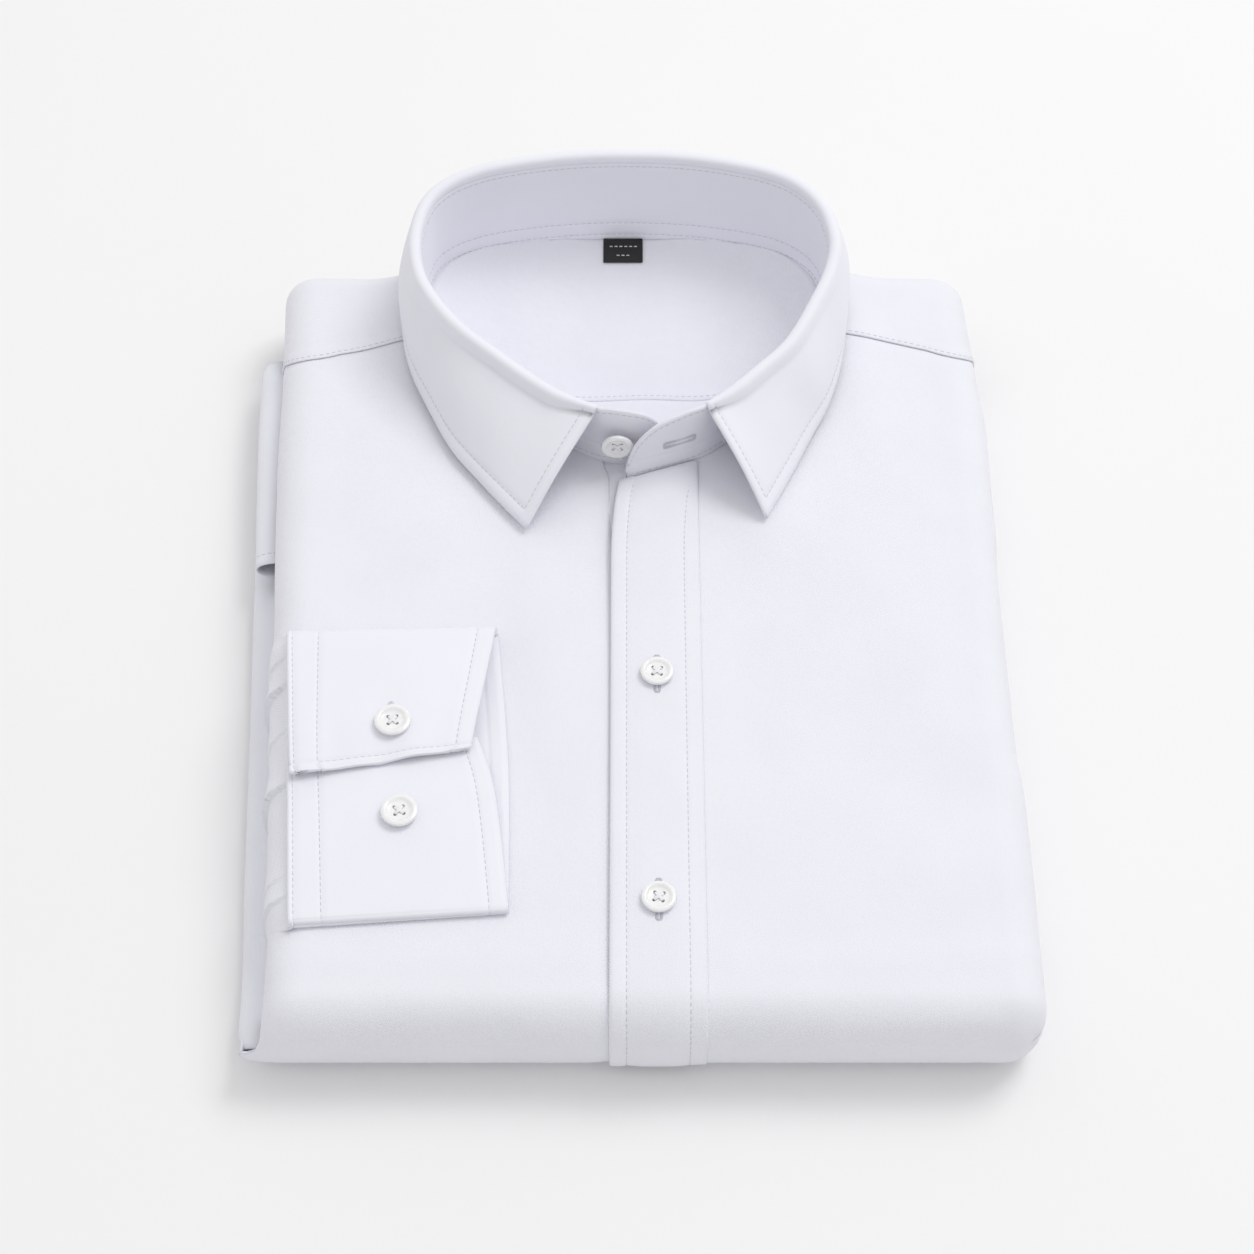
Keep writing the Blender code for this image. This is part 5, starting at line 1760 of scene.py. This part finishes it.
def core_point(u, v, turn, lift, under):
    """Point of the hidden layers: u across and v along from 0 to 1, out to the turn of the fold edges."""
    reach = FOLD_RADIUS * (turn - 1)
    front = FRONT_FOLD_Y - reach
    t = front + v * (BACK_EDGE_Y + reach - front)
    left = read_table(LEFT_EDGE, t) + CORE_LEFT_INSET - reach
    s = left + u * (read_table(RIGHT_EDGE, t) + reach - left)
    t += v * (back_edge(s) - BACK_EDGE_Y)
    point = pile_point(s, t, lift, CORE_LEFT_INSET, under)
    point.y -= CORE_BACK_INSET * v
    if not under and in_neck(point.x, point.y):
        point.z = min(point.z, read_table(NECK_FLOOR, point.y) - NECK_FLOOR_CLEAR)
    return point


def folded_layers():
    """One closed solid: a top and an underside, joined by loops round the rim."""
    across = between(0.0, 1.0, 70)
    along = between(0.0, 1.0, 90)
    rim = [(u, 0.0) for u in across] + [(1.0, v) for v in along[1:]]
    rim += [(u, 1.0) for u in across[-2::-1]] + [(0.0, v) for v in along[-2:0:-1]]
    corners = []
    faces = []
    skins = []
    for under, lift in ((False, -CORE_TOP), (True, -CORE_UNDER)):
        skin = {}
        for u in across:
            for v in along:
                skin[(u, v)] = len(corners)
                corners.append(core_point(u, v, CORE_START_TURN, lift, under))
        skins.append(skin)
    loops = [[skins[0][key] for key in rim]]
    steps = CORE_LAYERS * LOOPS_A_LAYER
    for step in range(1, steps):
        share = step / steps
        turn = CORE_START_TURN + (math.pi / 2 - CORE_START_TURN) * (1 - abs(2 * share - 1))
        nose = abs(math.sin(math.pi * share * CORE_LAYERS))
        lift = -CORE_TOP - (CORE_UNDER - CORE_TOP) * share - CORE_GROOVE * (1 - nose ** 0.6)
        loops.append(list(range(len(corners), len(corners) + len(rim))))
        corners.extend(core_point(u, v, turn, lift, share > 0.5) for u, v in rim)
    loops.append([skins[1][key] for key in rim])
    for low, high in zip(loops, loops[1:]):
        for index in range(len(rim)):
            follow = (index + 1) % len(rim)
            faces.append([low[index], high[index], high[follow], low[follow]])
    for u_low, u_high in zip(across, across[1:]):
        for v_low, v_high in zip(along, along[1:]):
            ring = [(u_low, v_low), (u_high, v_low), (u_high, v_high), (u_low, v_high)]
            faces.append([skins[0][key] for key in ring])
            faces.append([skins[1][key] for key in reversed(ring)])
    places = [(corner.x, corner.y) for corner in corners]
    item = mesh_piece("folded_layers", corners, faces, body_cotton, places)
    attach(item, "root")
    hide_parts("folded_core")


folded_layers()

# %% [markdown]
# ## Buttons
# Shirt buttons are pressed from pearly polyester: a rounded rim, a dished middle and four holes, sewn on
# with a cross of thread. A lathe gives the rim and the dish, which is a profile spun round, and the Boolean
# modifier drills the holes, because real holes let the shade in. The modifier is applied at once.

# %% Pearl material
def pearl():
    material, tree, shader = new_material("pearl_button")
    place = tree.nodes.new("ShaderNodeTexCoord").outputs["Object"]
    swirl = noise(tree, place, 320.0, 4.0)
    tint = color_ramp(tree, swirl, (0.88, 0.88, 0.89), (0.94, 0.94, 0.945))
    tree.links.new(tint, shader.inputs["Base Color"])
    roughness = add_math(tree, "MULTIPLY_ADD", swirl, 0.1)
    roughness.node.inputs[2].default_value = 0.17
    tree.links.new(roughness, shader.inputs["Roughness"])
    tree.links.new(bump(tree, noise(tree, place, 1500.0), 0.15, 0.02), shader.inputs["Normal"])
    shader.inputs["Subsurface Weight"].default_value = 0.25
    shader.inputs["Subsurface Radius"].default_value = (0.002, 0.002, 0.002)
    shader.inputs["Coat Weight"].default_value = 0.4
    shader.inputs["Coat Roughness"].default_value = 0.08
    return material


pearl_white = pearl()
print("button material:", pearl_white.name)

# %% Make a button
PROFILE_WIDTH = 11.6
BUTTON_PROFILE = (
    # radius, height, for a button of the profile's width
    (0.0, 0.1),
    (3.2, 0.0),
    (4.9, 0.35),
    (5.6, 1.0),
    (5.8, 1.6),
    (5.6, 2.2),
    (5.1, 2.5),
    (4.6, 2.55),
    (4.1, 2.35),
    (3.7, 1.95),
    (3.1, 1.75),
    (1.5, 1.7),
    (0.0, 1.7),
)
HOLE_SPACING = 3.0
HOLE_WIDTH = 1.25
SPIN = 48


def spun(profile, steps):
    """Corners and faces of a profile turned once round Z."""
    corners = [Vector((0, 0, profile[0][1]))]
    rings = []
    for radius, height in profile[1:-1]:
        rings.append(list(range(len(corners), len(corners) + steps)))
        for number in range(steps):
            angle = 2 * math.pi * number / steps
            corners.append(Vector((radius * math.cos(angle), radius * math.sin(angle), height)))
    corners.append(Vector((0, 0, profile[-1][1])))
    faces = []
    for number in range(steps):
        follow = (number + 1) % steps
        faces.append([0, rings[0][follow], rings[0][number]])
        faces.append([rings[-1][number], rings[-1][follow], len(corners) - 1])
        for low, high in zip(rings, rings[1:]):
            faces.append([low[number], low[follow], high[follow], high[number]])
    return corners, faces


def drilled(item):
    """Drills the four holes with a Boolean and applies it."""
    drill_corners = []
    drill_faces = []
    for x in (-HOLE_SPACING / 2, HOLE_SPACING / 2):
        for y in (-HOLE_SPACING / 2, HOLE_SPACING / 2):
            peg, peg_faces = spun(((0, -1), (HOLE_WIDTH / 2, -1), (HOLE_WIDTH / 2, 5), (0, 5)), 16)
            shift = len(drill_corners)
            drill_corners += [corner + Vector((x, y, 0)) for corner in peg]
            drill_faces += [[index + shift for index in face] for face in peg_faces]
    mesh = bpy.data.meshes.new("drill")
    mesh.from_pydata([corner * MM for corner in drill_corners], [], drill_faces)
    drill = add_object("drill", mesh)
    cut = item.modifiers.new("holes", "BOOLEAN")
    cut.operation = "DIFFERENCE"
    cut.object = drill
    graph = bpy.context.evaluated_depsgraph_get()
    item.data = bpy.data.meshes.new_from_object(item.evaluated_get(graph))
    item.modifiers.clear()
    bpy.data.objects.remove(drill)
    item.data.set_sharp_from_angle(angle=math.radians(40))


def make_button(name, node, place, width, facing, turn):
    """A drilled button and its crossed thread, set down on the cloth."""
    corners, faces = spun([(r * width / PROFILE_WIDTH, z) for r, z in BUTTON_PROFILE], SPIN)
    item = mesh_piece(name, corners, faces, pearl_white)
    drilled(item)
    stand_up = Matrix.Translation(Vector(place) * MM) @ facing.to_4x4()
    pose = stand_up @ Matrix.Rotation(math.radians(turn), 4, "Z")
    item.data.transform(pose)
    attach(item, "root")
    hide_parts(node)
    corners = []
    faces = []
    reach = HOLE_SPACING / 2
    for side in (-1, 1):
        for shift in (-0.3, 0.0, 0.3):
            off = Vector((shift, -side * shift, 0.0)) * 0.7
            start = Vector((-reach, -reach * side, 1.8)) + off
            end = Vector((reach, reach * side, 1.8)) + off
            capsule(corners, faces, start, end, Vector((0, 0, 1)), 0.3, 0.9)
    threads = mesh_piece(name + "_thread", corners, faces, button_thread)
    threads.data.transform(pose)
    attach(threads, "root")


# %% Set the buttons
upright = Matrix.Identity(3)
forward = Matrix.Rotation(math.radians(90), 3, "X")
STAND_BUTTON_AT = (-3.6, 64.3, 51.8)
STAND_BUTTON_WIDTH = 12.2
PLACKET_BUTTON_X = 10.7
PLACKET_BUTTONS_Y = (-32.4, -124.7)
PLACKET_BUTTON_WIDTH = 12.0
CUFF_BUTTONS_AT = ((-81.5, -58.0, 47.0), (-77.7, -92.9, 43.7))
CUFF_BUTTON_WIDTH = 12.8


def placket_top(y):
    """Height of the placket's cloth under its row of buttons."""
    return PILE_HEIGHT + placket_base(PLACKET_BUTTON_X, y) + crease_height(PLACKET_BUTTON_X, y)


make_button("stand_button", "collar_button", STAND_BUTTON_AT, STAND_BUTTON_WIDTH, forward, 0)
for number, y in enumerate(PLACKET_BUTTONS_Y, start=1):
    place = (PLACKET_BUTTON_X, y, placket_top(y) + 0.15)
    make_button(f"front_button_{number}", f"placket_button_{number}", place, PLACKET_BUTTON_WIDTH,
                upright, 3 - 5 * number)
for number, place in enumerate(CUFF_BUTTONS_AT, start=1):
    make_button(f"sleeve_button_{number}", f"cuff_button_{number}", place, CUFF_BUTTON_WIDTH,
                upright, 4 * number)

# %% [markdown]
# ## Buttonholes
# A buttonhole is a slit between two dense rows of thread, closed by a bar at each end. Most of each one is
# under its button, and its ends peep out. Short threads laid side by side across the slit make the two rows,
# so the same capsule serves again.

# %% Make the buttonholes
HOLE_LENGTH = 14.8
HOLE_ROW = 1.3
THREAD_STEP = 0.36
SLIT_HALF = 0.15


def buttonhole(group, middle, along, up, length=HOLE_LENGTH, row=HOLE_ROW):
    """Threads across a slit: middle, direction along and up are vectors in millimetres."""
    side = along.cross(up).normalized()
    count = int(length / THREAD_STEP)
    for index in range(count + 1):
        at = middle + along * (index / count - 0.5) * length
        for sign in (-1, 1):
            start = at + side * sign * SLIT_HALF
            end = at + side * sign * (SLIT_HALF + row)
            add_stitches(group, [(start, start - up), (end, end - up)], 0.18, row, 0.05)
    for sign in (-1, 1):
        for step in (0.0, THREAD_STEP, 2 * THREAD_STEP):
            at = middle + along * sign * (length / 2 + step)
            reach = (row + SLIT_HALF) * (1 - 0.4 * step)
            start, end = at - side * reach, at + side * reach
            add_stitches(group, [(start, start - up), (end, end - up)], 0.19, 2 * reach, 0.05)


up = Vector((0, 0, 1))
for y in PLACKET_BUTTONS_Y:
    buttonhole("front_stitches", Vector((PLACKET_BUTTON_X, y, placket_top(y))), Vector((0, 1, 0)), up)
buttonhole("cuff_stitches", Vector((-82.7, -55.3, 46.75)), Vector((0.06, 1, 0)).normalized(), up, 11.0)


def on_stand(place, height):
    """Point of the stand's outer face at one place of the route."""
    low, high = stand_height(place)
    point = route_point(place) + route_outward(place) * (STAND_CLOTH / 2 - stand_bow(height, low, high))
    return Vector((point.x, point.y, height))


hole_start, hole_end = on_stand(28.15, 51.6), on_stand(26.6, 51.6)
hole_along = (hole_end - hole_start).normalized()
hole_out = route_outward(27.4)
buttonhole("collar_stitches", (hole_start + hole_end) / 2 + hole_out * 0.1, hole_along, hole_out, 11.6, 2.0)

# %% [markdown]
# ## Sew everything
# All lines are known now, so each piece's stitches become one joined mesh. They could be instances of one
# stitch, which is lighter, but a joined mesh survives any export.

# %% Make the stitches
sew("front_stitches")
sew("neck_stitches")
sew("collar_stitches")
sew("cuff_stitches")
sew("tail_stitches")

# %% [markdown]
# ## Floor, light and camera
# The shirt lies on a plain pale surface. A sky that is bright above and dim towards the viewer fills the
# shadows, and one large soft lamp high over the right shoulder gives the folds their shape, so the front face
# and the left side fall into a gentle shade. White cloth needs its tones kept apart, so the colours are shown
# with the plain Standard transform. The camera stands in front, 54 degrees above the surface, with a long
# lens that keeps lines straight.

# %% The pale floor
FLOOR_SIZE = 12.0


def pale_floor():
    mesh = bpy.data.meshes.new("floor")
    half = FLOOR_SIZE / 2
    corners = [(-half, -half, 0), (half, -half, 0), (half, half, 0), (-half, half, 0)]
    mesh.from_pydata(corners, [], [(0, 1, 2, 3)])
    material, tree, shader = new_material("pale_paper")
    place = tree.nodes.new("ShaderNodeTexCoord").outputs["Object"]
    tone = color_ramp(tree, noise(tree, place, 3.0), (0.90, 0.90, 0.90), (0.915, 0.915, 0.915))
    tree.links.new(tone, shader.inputs["Base Color"])
    shader.inputs["Roughness"].default_value = 0.9
    shader.inputs["Specular IOR Level"].default_value = 0.1
    mesh.materials.append(material)
    item = add_object("floor", mesh)
    item.location.z = -0.0003


pale_floor()

# %% Sky and lamps
SKY_STRENGTH = 0.795


def soft_sky():
    """A white sky that grows dimmer from above and behind to the side of the viewer."""
    world = bpy.data.worlds.new("studio")
    world.use_nodes = True
    tree = world.node_tree
    split = tree.nodes.new("ShaderNodeSeparateXYZ")
    tree.links.new(tree.nodes.new("ShaderNodeTexCoord").outputs["Generated"], split.inputs[0])
    behind = add_math(tree, "MULTIPLY", split.outputs["Y"], 0.2)
    bright = add_math(tree, "ADD", split.outputs["Z"], behind)
    shifted = add_math(tree, "ADD", bright, 0.2)
    sky = color_ramp(tree, shifted, (0.46, 0.46, 0.46), (1.0, 1.0, 1.0), 0.0, 0.8)
    tree.links.new(sky, tree.nodes["Background"].inputs["Color"])
    tree.nodes["Background"].inputs["Strength"].default_value = SKY_STRENGTH
    bpy.context.scene.world = world
    bpy.context.scene.view_settings.view_transform = "Standard"


soft_sky()


def soft_lamp(name, place, target, size, power):
    """A square area light that looks at a target, all in metres."""
    lamp = bpy.data.lights.new(name, "AREA")
    lamp.shape = "SQUARE"
    lamp.size = size
    lamp.energy = power
    item = add_object(name, lamp)
    item.location = place
    item.rotation_euler = (Vector(target) - Vector(place)).to_track_quat("-Z", "Y").to_euler()


soft_lamp("key_lamp", (1.3, 1.0, 2.6), (0.0, 0.0, 0.0), 1.3, 29.5)

# %% The camera
CAMERA_AT = (0.0, -0.572, 0.811)
CAMERA_DOWN = 54.0
CAMERA_LENS = 75.9
camera = bpy.data.objects.new("camera", bpy.data.cameras.new("camera"))
bpy.context.scene.collection.objects.link(camera)
camera.location = CAMERA_AT
camera.rotation_euler = (math.radians(90.0 - CAMERA_DOWN), 0.0, 0.0)
camera.data.lens = CAMERA_LENS
camera.data.sensor_width = 36.0
camera.data.clip_start = 0.01
bpy.context.scene.camera = camera
